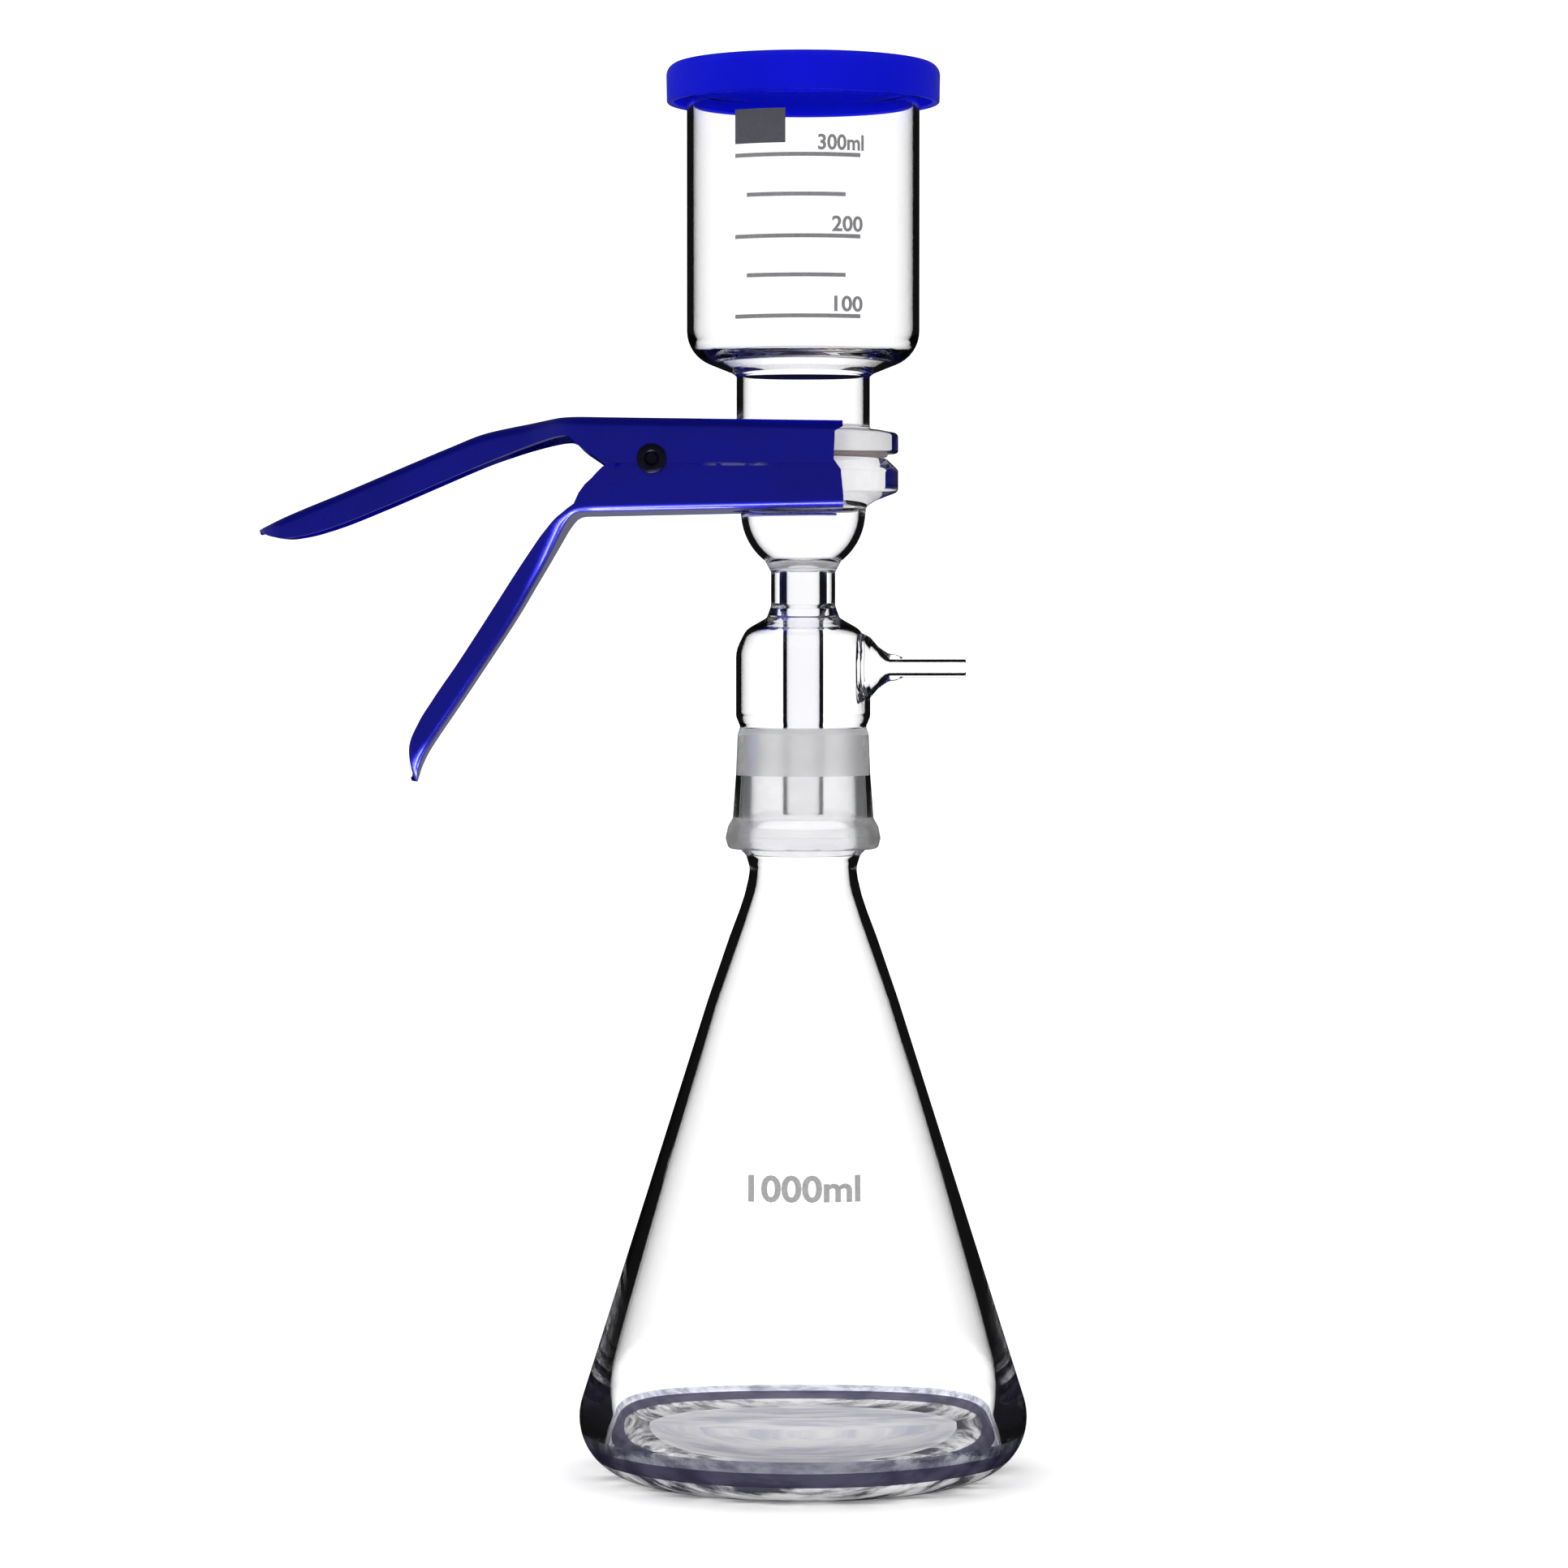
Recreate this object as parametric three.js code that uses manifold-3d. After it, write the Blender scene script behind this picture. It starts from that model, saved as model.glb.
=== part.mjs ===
// Glass vacuum filtration apparatus: receiving flask, vacuum adapter with drip tube and hose nipple,
// sintered disc and seal, graduated funnel with its cap, and the sprung clamp that holds the flanges.
// Millimetres, +Z up, the origin at the centre of the flask's flat base, the hose nipple towards +X.
import * as THREE from "three";
import { mergeVertices } from "three/addons/utils/BufferGeometryUtils.js";
import Module from "manifold-3d";

const wasm = await Module();
wasm.setup();

const SEGMENTS = 36; // facets round every large revolved piece
const SMALL_SEGMENTS = 20; // facets round pins, bores and thin tubes
const GAP = 0.3; // free space between glass members fused on the real object
const TOUCH = 0.05; // free space between pieces stacked flat on each other

// Receiving flask
const BASE_R = 51;
const HEEL_R = 18.2;
const CONE_TILT = 0.305; // radians between the cone wall and the vertical
const SHOULDER_Z = 166;
const WAIST_R = 16.4;
const WAIST_Z = 187;
const FLOOR_T = 5;
const NECK_WALL = 3;

// Ground joint, size 40/35 with a taper of one in ten on the diameter
const JOINT_R = 20;
const JOINT_Z = 195;
const JOINT_LENGTH = 35;
const JOINT_TOP_R = JOINT_R - JOINT_LENGTH / 20;
const JOINT_TOP_Z = JOINT_Z + JOINT_LENGTH;
const JOINT_GAP = 0.2;

// Vacuum adapter
const BEAD_R = 23.6;
const BEAD_Z = 193.5;
const NECK_IN_Z = 231.2;
const DOME_R = 20.7;
const DOME_WALL = 1.8;
const DOME_TOP_Z = 253.5;
const STEM_R = 10;
const STEM_WALL = 1.2;
const STEM_Z = 267;
const NIPPLE_Z = 249.2;
const NIPPLE_TIP_X = 50.1;
const NIPPLE_R = 3.2;
const NIPPLE_BORE_R = 1.6;
const NIPPLE_FLARE_R = 8.6;
const TUBE_R = 6.1;
const TUBE_BORE_R = 5.1;
const TUBE_TIP_Z = 203;
const TUBE_TIP_RISE = 1.6; // the tip is cut on the slant by this much across its diameter
const BOWL_R = 19.15;
const BOWL_WALL = 2;
const BOWL_CENTRE_Z = 297.1;

// Flanges, sintered disc and seal
const FLANGE_R = 29.25;
const FLANGE_TOP_Z = 313.4;
const DISC_R = 20;
const DISC_T = 3.5;
const SEAL_R = 26;
const SEAL_BORE_R = 18.5;
const SEAL_T = 1.1;
const FUNNEL_Z = 315;

// Funnel and cap
const FUNNEL_NECK_R = 20.5;
const FUNNEL_NECK_BORE_R = 18;
const FUNNEL_FLANGE_TOP_Z = 322.1;
const CUP_R = 35.75;
const CUP_WALL = 2.5;
const CUP_CORNER_R = 10;
const CUP_CORNER_Z = 354.7;
const RIM_R = 38.4;
const RIM_Z = 431.9;
const CAP_R = 42.1;
const CAP_WALL = 2.4;
const CAP_Z = 422.3;
const CAP_TOP_Z = 434.5;
const CAP_EDGE_R = 3.5;

// Clamp
const SHEET = 1.6;
const BEND_R = 3; // outside radius of the bends along the body
const PIVOT_X = -45.8;
const PIVOT_Z = 312.3;
const UPPER_HALF_WIDTH = 33.2;
const LOWER_HALF_WIDTH = 31.3;
const BODY_REAR_X = -70;
const UPPER_TILT = 0.0131; // the upper plate climbs this much per millimetre towards the pivot
const LOWER_TILT = 0.0208;
const UPPER_FRONT_Z = 323.9;
const LOWER_FRONT_Z = 297.9;
const FRONT_X = 12;
const SEAM_Z = 310.9;
const NOTCH_X = -60.2;
const FORK_HALF_WIDTH = 21.75;
const HANDLE_HALF_WIDTH = 13;
const HANDLE_ROOT_HALF_WIDTH = 17;
const PIN_R = 3;
const PIN_BORE_R = 1.9;
const PIN_HOLE_R = 3.3;
const PIN_HEAD_R = 4.5;
const EAR_R = 8;
const WIRE_R = 0.8;
const COIL_R = 4.6;
const COIL_HALF_LENGTH = 9;
const COIL_TURNS = 6;

const part = new THREE.Group();

function add(name, geometry, color, roughness, metalness) {
  const material = new THREE.MeshStandardMaterial({ color, roughness, metalness });
  const mesh = new THREE.Mesh(geometry, material);
  mesh.name = name;
  part.add(mesh);
}

const addGlass = (name, geometry) => add(name, geometry, 0xdde6ec, 0.05, 0);
const addClampSheet = (name, geometry) => add(name, geometry, 0x0c1296, 0.35, 0.6);

// Points of a circular arc, angles in degrees, in the plane of a profile.
function arc(x, y, radius, from, to, steps) {
  const points = [];
  for (let i = 0; i <= steps; i++) {
    const a = THREE.MathUtils.degToRad(from + ((to - from) * i) / steps);
    points.push([x + radius * Math.cos(a), y + radius * Math.sin(a)]);
  }
  return points;
}

// A body turned about +Z from its section, given as radius and height; a ring's section is closed here.
function revolve(section, segments = SEGMENTS) {
  const onAxis = section[0][0] === 0;
  const outline = onAxis ? section : [...section, section[0]];
  const points = outline.map(([r, z]) => new THREE.Vector2(r, z));
  return new THREE.LatheGeometry(points, segments).rotateX(Math.PI / 2);
}

function prism(outline, depth) {
  const shape = new THREE.Shape(outline.map(([x, y]) => new THREE.Vector2(x, y)));
  return new THREE.ExtrudeGeometry(shape, { depth, bevelEnabled: false });
}

// A prism of an outline in X and Z that reaches the same distance to both sides along Y.
const sideways = (outline, halfWidth) =>
  prism(outline, 2 * halfWidth).translate(0, 0, -halfWidth).rotateX(Math.PI / 2);

// Turns a geometry so that its own X, Y and Z lie along the three given directions.
const along = (geometry, x, y, z) =>
  geometry.applyMatrix4(new THREE.Matrix4().makeBasis(x, y, z));

const X = new THREE.Vector3(1, 0, 0);
const Y = new THREE.Vector3(0, 1, 0);
const Z = new THREE.Vector3(0, 0, 1);

function solid(geometry) {
  const bare = new THREE.BufferGeometry();
  const source = geometry.index ? geometry.toNonIndexed() : geometry;
  bare.setAttribute("position", source.getAttribute("position"));
  const merged = mergeVertices(bare, 1e-3);
  const mesh = new wasm.Mesh({
    numProp: 3,
    vertProperties: merged.attributes.position.array,
    triVerts: new Uint32Array(merged.index.array),
  });
  return new wasm.Manifold(mesh);
}

function geometryOf(manifold) {
  const mesh = manifold.getMesh();
  const geometry = new THREE.BufferGeometry();
  geometry.setAttribute("position", new THREE.BufferAttribute(mesh.vertProperties, 3));
  return geometry.setIndex(new THREE.BufferAttribute(mesh.triVerts, 1));
}

// ---- Receiving flask ----

const coneTop = [29.3, 147];
const coneFoot = HEEL_R * Math.sin(CONE_TILT);
const heelDegrees = THREE.MathUtils.radToDeg(CONE_TILT);
const flaskSection = [
  [0, 0],
  ...arc(BASE_R, HEEL_R, HEEL_R, -90, heelDegrees, 9),
  coneTop,
  [22.8, SHOULDER_Z],
  [19.6, 174.5],
  [17.4, 181],
  [WAIST_R, WAIST_Z],
  [17.3, 190.6],
  [JOINT_R - 0.4, 193.6],
  [JOINT_R, JOINT_Z],
  [JOINT_TOP_R, JOINT_TOP_Z],
  [JOINT_TOP_R - 2.7, JOINT_TOP_Z],
  [16, JOINT_Z],
  [WAIST_R - NECK_WALL, WAIST_Z + 2],
  [WAIST_R - NECK_WALL + 0.2, WAIST_Z - 4],
  [17.3, 171.5],
  [25.8, 147],
  [41, 97],
  [61.9, HEEL_R + coneFoot],
  ...arc(BASE_R - 2.6, FLOOR_T + 14, 14, 0, -90, 5),
  [0, FLOOR_T],
];
addGlass("receiving_flask", revolve(flaskSection));

// ---- Vacuum adapter ----

const coneRadius = (z) => JOINT_R - (z - JOINT_Z) / 20;
const socketSection = [
  [coneRadius(BEAD_Z) + JOINT_GAP, BEAD_Z],
  [BEAD_R - 1.2, BEAD_Z],
  [BEAD_R, BEAD_Z + 1.5],
  [BEAD_R, BEAD_Z + 5],
  [BEAD_R - 0.9, BEAD_Z + 6.6],
  [21.9, 202.2],
  [20.8, 216.5],
  [20.2, 229.6],
  [19.1, NECK_IN_Z - GAP],
  [17.3, NECK_IN_Z - GAP],
  [17.3, JOINT_TOP_Z + GAP],
  [JOINT_TOP_R + JOINT_GAP, JOINT_TOP_Z + GAP],
];
addGlass("joint_socket", revolve(socketSection));

const bowlFoot = (radius, outset) =>
  BOWL_CENTRE_Z - Math.sqrt((BOWL_R + outset) ** 2 - radius ** 2);
const stemBore = STEM_R - STEM_WALL;
const domeSection = [
  [17.3, NECK_IN_Z],
  [19.1, NECK_IN_Z],
  [20.1, 233],
  [DOME_R, 235],
  [DOME_R, DOME_TOP_Z],
  [19.2, 257.2],
  [17.2, 260.5],
  [13.4, 262.9],
  [11.4, 264.6],
  [STEM_R, STEM_Z],
  [STEM_R, bowlFoot(STEM_R, GAP)],
  [stemBore, bowlFoot(stemBore, GAP)],
  [stemBore, STEM_Z - 0.6],
  [9.6, 264],
  [12.2, 261.4],
  [15.9, 259.2],
  [17.6, 256.4],
  [DOME_R - DOME_WALL, DOME_TOP_Z - 0.5],
  [DOME_R - DOME_WALL, 235.4],
  [18.3, 233.4],
];
const nippleHole = along(
  new THREE.CylinderGeometry(6.2, 6.2, 12, SMALL_SEGMENTS).rotateX(Math.PI / 2),
  Y,
  Z,
  X,
).translate(DOME_R, 0, NIPPLE_Z);
addGlass("vacuum_dome", geometryOf(solid(revolve(domeSection)).subtract(solid(nippleHole))));

// The nipple's section is turned about +Z at the origin, then laid along +X.
const nippleSection = [
  [6.4, 18],
  [NIPPLE_FLARE_R, 18],
  [NIPPLE_FLARE_R - 1.2, 20.6],
  [5.2, 22.4],
  [3.9, 24.4],
  [NIPPLE_R + 0.2, 27],
  [NIPPLE_R, 30],
  [NIPPLE_R, NIPPLE_TIP_X - 0.6],
  [NIPPLE_R - 0.6, NIPPLE_TIP_X],
  [NIPPLE_BORE_R, NIPPLE_TIP_X],
  [NIPPLE_BORE_R, 25.4],
  [3.2, 22.8],
];
const nippleBlank = along(revolve(nippleSection, SMALL_SEGMENTS), Y, Z, X);
const domeClearance = revolve(
  [
    [0, 230],
    [DOME_R + GAP, 230],
    [DOME_R + GAP, DOME_TOP_Z],
    [19.2 + GAP, 257.4],
    [17.3 + GAP, 261],
    [0, 261],
  ],
  SEGMENTS,
);
addGlass(
  "hose_nipple",
  geometryOf(
    solid(nippleBlank.translate(0, 0, NIPPLE_Z)).subtract(solid(domeClearance)),
  ),
);

const seatZ = FLANGE_TOP_Z - DISC_T - TOUCH;
const bowlBottom = (radius) => THREE.MathUtils.radToDeg(Math.acos(radius / BOWL_R));
const innerBowlR = BOWL_R - BOWL_WALL;
const innerBowlBottom = THREE.MathUtils.radToDeg(Math.acos(TUBE_BORE_R / innerBowlR));
const bowlSection = [
  ...arc(0, BOWL_CENTRE_Z, BOWL_R, -bowlBottom(TUBE_BORE_R), -8, 9),
  [19.4, 298.6],
  [21.8, 299.8],
  [FLANGE_R, 302.7],
  [FLANGE_R, 309.7],
  [25.6, FLANGE_TOP_Z],
  [DISC_R + GAP, FLANGE_TOP_Z],
  [DISC_R + GAP, seatZ],
  [innerBowlR, seatZ],
  ...arc(0, BOWL_CENTRE_Z, innerBowlR, 0, -innerBowlBottom, 8),
];
addGlass("support_bowl", revolve(bowlSection));

const tubeSection = [
  [TUBE_BORE_R, TUBE_TIP_Z],
  [TUBE_R, TUBE_TIP_Z],
  [TUBE_R, bowlFoot(TUBE_R, GAP)],
  [TUBE_BORE_R, bowlFoot(TUBE_BORE_R, GAP)],
];
const tipCut = sideways(
  [
    [-20, -20],
    [20, -20],
    [20, TUBE_TIP_RISE / 2],
    [-20, TUBE_TIP_RISE / 2],
  ],
  20,
)
  .rotateX(-Math.atan2(TUBE_TIP_RISE, 2 * TUBE_R))
  .translate(0, 0, TUBE_TIP_Z);
addGlass(
  "drip_tube",
  geometryOf(solid(revolve(tubeSection, SMALL_SEGMENTS)).subtract(solid(tipCut))),
);

// ---- Sintered disc and seal ----

const discSection = [
  [0, FLANGE_TOP_Z - DISC_T],
  [DISC_R, FLANGE_TOP_Z - DISC_T],
  [DISC_R, FLANGE_TOP_Z],
  [0, FLANGE_TOP_Z],
];
add("sintered_disc", revolve(discSection), 0xf2f1ee, 0.9, 0);

const sealZ = FUNNEL_Z - TOUCH - SEAL_T;
const sealSection = [
  [SEAL_BORE_R, sealZ],
  [SEAL_R, sealZ],
  [SEAL_R, sealZ + SEAL_T],
  [SEAL_BORE_R, sealZ + SEAL_T],
];
add("seal_ring", revolve(sealSection), 0x8a7d78, 0.7, 0);

// ---- Funnel and cap ----

const funnelSection = [
  [FUNNEL_NECK_BORE_R, FUNNEL_Z],
  [FLANGE_R, FUNNEL_Z],
  [FLANGE_R, FUNNEL_FLANGE_TOP_Z - 1.9],
  [FLANGE_R - 1.2, FUNNEL_FLANGE_TOP_Z - 1.1],
  [23, FUNNEL_FLANGE_TOP_Z],
  [FUNNEL_NECK_R, FUNNEL_FLANGE_TOP_Z],
  [FUNNEL_NECK_R, 339.2],
  [22, 341],
  ...arc(CUP_R - CUP_CORNER_R, CUP_CORNER_Z, CUP_CORNER_R, -64, 0, 5),
  [CUP_R, 424.5],
  [RIM_R - 0.6, 427.4],
  [RIM_R, 429],
  [RIM_R, RIM_Z - 1],
  [RIM_R - 1, RIM_Z],
  [CUP_R - 0.6, RIM_Z],
  [CUP_R - CUP_WALL, 428],
  ...arc(CUP_R - CUP_CORNER_R, CUP_CORNER_Z, CUP_CORNER_R - CUP_WALL, 0, -64, 4),
  [19.4, 342.4],
  [FUNNEL_NECK_BORE_R, 339.6],
];
addGlass("funnel_cup", revolve(funnelSection));

const capSection = [
  [0, CAP_TOP_Z - CAP_WALL],
  [CAP_R - CAP_WALL - 1, CAP_TOP_Z - CAP_WALL],
  [CAP_R - CAP_WALL, CAP_TOP_Z - CAP_WALL - 1],
  [CAP_R - CAP_WALL, CAP_Z],
  [CAP_R - 0.5, CAP_Z],
  [CAP_R, CAP_Z + 0.5],
  ...arc(CAP_R - CAP_EDGE_R, CAP_TOP_Z - CAP_EDGE_R, CAP_EDGE_R, 0, 90, 4),
  [0, CAP_TOP_Z],
];
add("funnel_cap", revolve(capSection), 0x0510be, 0.25, 0);

// ---- Clamp ----

// A channel open at the bottom: its web lies under z = 0, its walls hang from it, and it runs along X.
function channel(halfWidth) {
  const depth = 22;
  const inner = halfWidth - SHEET;
  const innerR = BEND_R - SHEET;
  const outline = [
    [-halfWidth, -depth],
    ...arc(BEND_R - halfWidth, -BEND_R, BEND_R, 180, 90, 4),
    ...arc(halfWidth - BEND_R, -BEND_R, BEND_R, 90, 0, 4),
    [halfWidth, -depth],
    [inner, -depth],
    ...arc(inner - innerR, -BEND_R, innerR, 0, 90, 3),
    ...arc(innerR - inner, -BEND_R, innerR, 90, 180, 3),
    [-inner, -depth],
  ].reverse();
  const length = 100;
  return along(prism(outline, length), Y, Z, X).translate(-length, 0, 0);
}

// The line that runs beside a line of points, at a distance to the left of its direction of travel.
function beside(points, distance) {
  return points.map(([x, y], i) => {
    const [x0, y0] = points[Math.max(i - 1, 0)];
    const [x1, y1] = points[Math.min(i + 1, points.length - 1)];
    const length = Math.hypot(x1 - x0, y1 - y0);
    return [x - (distance * (y1 - y0)) / length, y + (distance * (x1 - x0)) / length];
  });
}

// A channel-shaped handle. Its web follows one line and its flanges reach to the other, both from the
// root to the tip, seen from the side; `side` is +1 where the flanges lie to the left of the web.
function handle(web, flangeEdge, side) {
  const [rootX, rootZ] = web[1];
  const [tipX, tipZ] = web.at(-1);
  const length = Math.hypot(tipX - rootX, tipZ - rootZ);
  const run = new THREE.Vector3((tipX - rootX) / length, 0, (tipZ - rootZ) / length);
  const across = new THREE.Vector3().crossVectors(run, Y);
  const reach = 60;

  const face = (inset) => {
    const half = HANDLE_HALF_WIDTH - inset;
    const rootHalf = HANDLE_ROOT_HALF_WIDTH - inset;
    const outline = [
      [-12, -rootHalf],
      [2, -rootHalf],
      [8, -half],
      ...arc(length - HANDLE_HALF_WIDTH, 0, half, -90, 90, 10),
      [8, half],
      [2, rootHalf],
      [-12, rootHalf],
    ];
    const blank = prism(outline, 2 * reach).translate(0, 0, -reach);
    return solid(along(blank, run, Y, across).translate(rootX, 0, rootZ));
  };

  const back = [...flangeEdge].reverse();
  const outer = solid(sideways(facing([...web, ...back]), HANDLE_ROOT_HALF_WIDTH));
  const lining = beside(web, side * SHEET);
  const beyond = beside(web, side * 30).reverse();
  const hollow = solid(sideways(facing([...lining, ...beyond]), HANDLE_ROOT_HALF_WIDTH));
  return outer.intersect(face(0)).subtract(hollow.intersect(face(SHEET)));
}

// The same outline, always anticlockwise.
function facing(outline) {
  const points = outline.map(([x, y]) => new THREE.Vector2(x, y));
  return THREE.ShapeUtils.area(points) < 0 ? [...outline].reverse() : outline;
}

const pinHole = new THREE.CylinderGeometry(PIN_HOLE_R, PIN_HOLE_R, 100, SMALL_SEGMENTS);
const pinClearance = solid(pinHole.translate(PIVOT_X, 0, PIVOT_Z));

const forkOutline = [
  ...arc(0, 0, FORK_HALF_WIDTH, 90, 270, 16),
  [40, -FORK_HALF_WIDTH],
  [40, FORK_HALF_WIDTH],
];
const forkMouth = solid(prism(forkOutline, 60).translate(0, 0, 280));

const upperBody = solid(
  channel(UPPER_HALF_WIDTH)
    .rotateY(Math.atan(UPPER_TILT))
    .translate(FRONT_X, 0, UPPER_FRONT_Z),
);
const upperSide = [
  [11.8, 330],
  [11.8, 322],
  [9.4, 320.6],
  [9, SEAM_Z],
  [NOTCH_X, SEAM_Z],
  [-68.5, 316.6],
  [BODY_REAR_X, 319],
  [BODY_REAR_X, 330],
];
const upperWeb = [
  [-64, 324.89],
  [-72, 325],
  [-88.5, 322.6],
  [-98.2, 320.5],
  [-107.5, 316.5],
  [-126, 308.9],
  [-153, 297.5],
  [-167.2, 291.3],
];
const upperFlange = [
  [-64, 319.4],
  [-72, 319.2],
  [-82, 317.6],
  [-98, 311.1],
  [-137.7, 294],
  [-151, 289.7],
  [-158, 288.6],
  [-163.6, 289.4],
  [-167, 291.1],
];
// Clears the inside of the body behind its plate, so that handle flanges start clear of the walls.
const bodyInside = (outline) =>
  solid(sideways(facing(outline), UPPER_HALF_WIDTH));
const upperInside = bodyInside([
  [-40, UPPER_FRONT_Z + (FRONT_X + 40) * UPPER_TILT - SHEET],
  [BODY_REAR_X - 1, UPPER_FRONT_Z + (FRONT_X - BODY_REAR_X) * UPPER_TILT - SHEET],
  [BODY_REAR_X - 1, 300],
  [-40, 300],
]);
const upperJaw = upperBody
  .intersect(solid(sideways(facing(upperSide), 50)))
  .subtract(forkMouth)
  .add(handle(upperWeb, upperFlange, 1).subtract(upperInside))
  .subtract(pinClearance);
addClampSheet("clamp_upper_jaw", geometryOf(upperJaw));

const lowerBody = solid(
  channel(LOWER_HALF_WIDTH)
    .rotateX(Math.PI)
    .rotateY(-Math.atan(LOWER_TILT))
    .translate(FRONT_X, 0, LOWER_FRONT_Z),
);
const lowerSide = [
  [12, 290],
  [12, 301.4],
  [11.2, 309.2],
  [9, 312.3],
  [PIVOT_X + EAR_R, 312.3],
  ...arc(PIVOT_X, PIVOT_Z, EAR_R, 0, 180, 8),
  [NOTCH_X, 310.3],
  [-68.1, 302.2],
  [-68.8, 299],
  [BODY_REAR_X, 298.2],
  [BODY_REAR_X, 290],
];
const lowerWeb = [
  [-62, 296.36],
  [-69.2, 296.1],
  [-71.8, 293],
  [-78.5, 281],
  [-86.2, 267.7],
  [-99.8, 246.9],
  [-111.8, 229.2],
  [-116.6, 221.4],
  [-118.9, 213.9],
];
const lowerFlange = [
  [-62, 299.6],
  [-70.4, 298],
  [-75, 294.6],
  [-81.8, 286.9],
  [-93.8, 268.8],
  [-105.8, 250.2],
  [-114.8, 237.2],
  [-120, 228.6],
  [-121.1, 223],
  [-119.1, 214.2],
];
const lowerInside = bodyInside([
  [-40, LOWER_FRONT_Z - (FRONT_X + 40) * LOWER_TILT + SHEET],
  [BODY_REAR_X - 0.4, LOWER_FRONT_Z - (FRONT_X - BODY_REAR_X) * LOWER_TILT + SHEET],
  [BODY_REAR_X - 0.4, 320],
  [-40, 320],
]);
const lowerJaw = lowerBody
  .intersect(solid(sideways(facing(lowerSide), 50)))
  .subtract(forkMouth)
  .add(handle(lowerWeb, lowerFlange, -1).subtract(lowerInside))
  .subtract(pinClearance);
addClampSheet("clamp_lower_jaw", geometryOf(lowerJaw));

// The rivet's section is turned about +Z at the origin, then laid along Y.
const headInner = UPPER_HALF_WIDTH + 0.2;
const headTop = headInner + 1.2;
const rivetSection = [
  [PIN_BORE_R, -headTop],
  [PIN_HEAD_R - 0.8, -headTop],
  [PIN_HEAD_R, -headTop + 0.6],
  [PIN_HEAD_R, -headInner],
  [PIN_R, -headInner],
  [PIN_R, headInner],
  [PIN_HEAD_R, headInner],
  [PIN_HEAD_R, headTop - 0.6],
  [PIN_HEAD_R - 0.8, headTop],
  [PIN_BORE_R, headTop],
];
const rivet = along(revolve(rivetSection, SMALL_SEGMENTS), Z, X, Y);
add("pivot_rivet", rivet.translate(PIVOT_X, 0, PIVOT_Z), 0x2b2b33, 0.4, 0.8);

// Torsion spring: a coil round the rivet whose two legs press the jaw plates apart behind it.
const LEG_LENGTH = 17;
const COIL_START = -60;
const COIL_END = 70 + 360 * (COIL_TURNS - 1);
const STEPS_PER_TURN = 14;
const SPRING_STEPS = 110;

function coilPoint(degrees) {
  const a = THREE.MathUtils.degToRad(degrees);
  const share = (degrees - COIL_START) / (COIL_END - COIL_START);
  return new THREE.Vector3(
    PIVOT_X + COIL_R * Math.cos(a),
    COIL_HALF_LENGTH * (2 * share - 1),
    PIVOT_Z + COIL_R * Math.sin(a),
  );
}

function legEnd(degrees, sense) {
  const a = THREE.MathUtils.degToRad(degrees);
  const direction = new THREE.Vector3(-Math.sin(a), 0, Math.cos(a));
  return coilPoint(degrees).addScaledVector(direction, sense * LEG_LENGTH);
}

const coilSteps = Math.round(((COIL_END - COIL_START) / 360) * STEPS_PER_TURN);
const coilPoints = [];
for (let i = 0; i <= coilSteps; i++) {
  coilPoints.push(coilPoint(COIL_START + ((COIL_END - COIL_START) * i) / coilSteps));
}
const pathPoints = [legEnd(COIL_START, -1), ...coilPoints, legEnd(COIL_END, 1)];
const wireSection = new THREE.Shape(
  arc(0, 0, WIRE_R, 0, 300, 5).map(([x, y]) => new THREE.Vector2(x, y)),
);
const spring = new THREE.ExtrudeGeometry(wireSection, {
  steps: SPRING_STEPS,
  bevelEnabled: false,
  extrudePath: new THREE.CatmullRomCurve3(pathPoints, false, "centripetal"),
});
add("torsion_spring", spring, 0x9aa0a8, 0.3, 0.9);

export default part;
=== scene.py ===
"""Looks of a glass vacuum filtration apparatus: receiving flask, vacuum adapter, sintered disc and seal,
graduated funnel with its cap, and the sprung clamp that holds the flanges together.

Sections and outlines are in millimetres, as radius and height or as X and Z, and every mesh is scaled to
metres when it is made. The camera, the light and the patterns of the materials are in metres. The origin
is the centre of the flask's flat base, +Z up, with the hose nipple at +X.
"""

import math

import bmesh
import bpy
import numpy as np
from mathutils import Matrix, Vector


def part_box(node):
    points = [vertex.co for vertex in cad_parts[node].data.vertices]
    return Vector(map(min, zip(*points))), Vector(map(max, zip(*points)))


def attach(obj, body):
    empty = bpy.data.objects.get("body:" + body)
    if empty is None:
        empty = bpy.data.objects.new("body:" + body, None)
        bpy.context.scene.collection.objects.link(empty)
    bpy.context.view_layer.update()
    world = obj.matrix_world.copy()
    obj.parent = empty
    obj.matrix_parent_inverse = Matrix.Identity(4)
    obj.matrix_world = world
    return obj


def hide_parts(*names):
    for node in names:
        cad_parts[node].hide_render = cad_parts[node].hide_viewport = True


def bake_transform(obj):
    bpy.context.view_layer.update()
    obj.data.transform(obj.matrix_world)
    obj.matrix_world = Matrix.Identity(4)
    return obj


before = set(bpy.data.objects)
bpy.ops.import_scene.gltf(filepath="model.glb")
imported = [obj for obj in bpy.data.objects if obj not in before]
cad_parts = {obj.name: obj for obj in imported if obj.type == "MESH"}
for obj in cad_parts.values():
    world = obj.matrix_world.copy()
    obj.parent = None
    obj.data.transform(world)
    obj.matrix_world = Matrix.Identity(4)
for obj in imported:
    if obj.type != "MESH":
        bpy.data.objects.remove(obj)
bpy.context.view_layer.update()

MM = 0.001
LATHE_STEPS = 144  # facets round the large glass pieces
SMALL_LATHE_STEPS = 48  # facets round the nipple, the rivet and the bores
ARC_DEGREES = 9  # turn per facet of a rounded corner
SHARP_DEGREES = 38  # edges that turn more than this are shaded as edges
STRAIGHT_DEGREES = 178  # outline corners wider than this are left as they are
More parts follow.
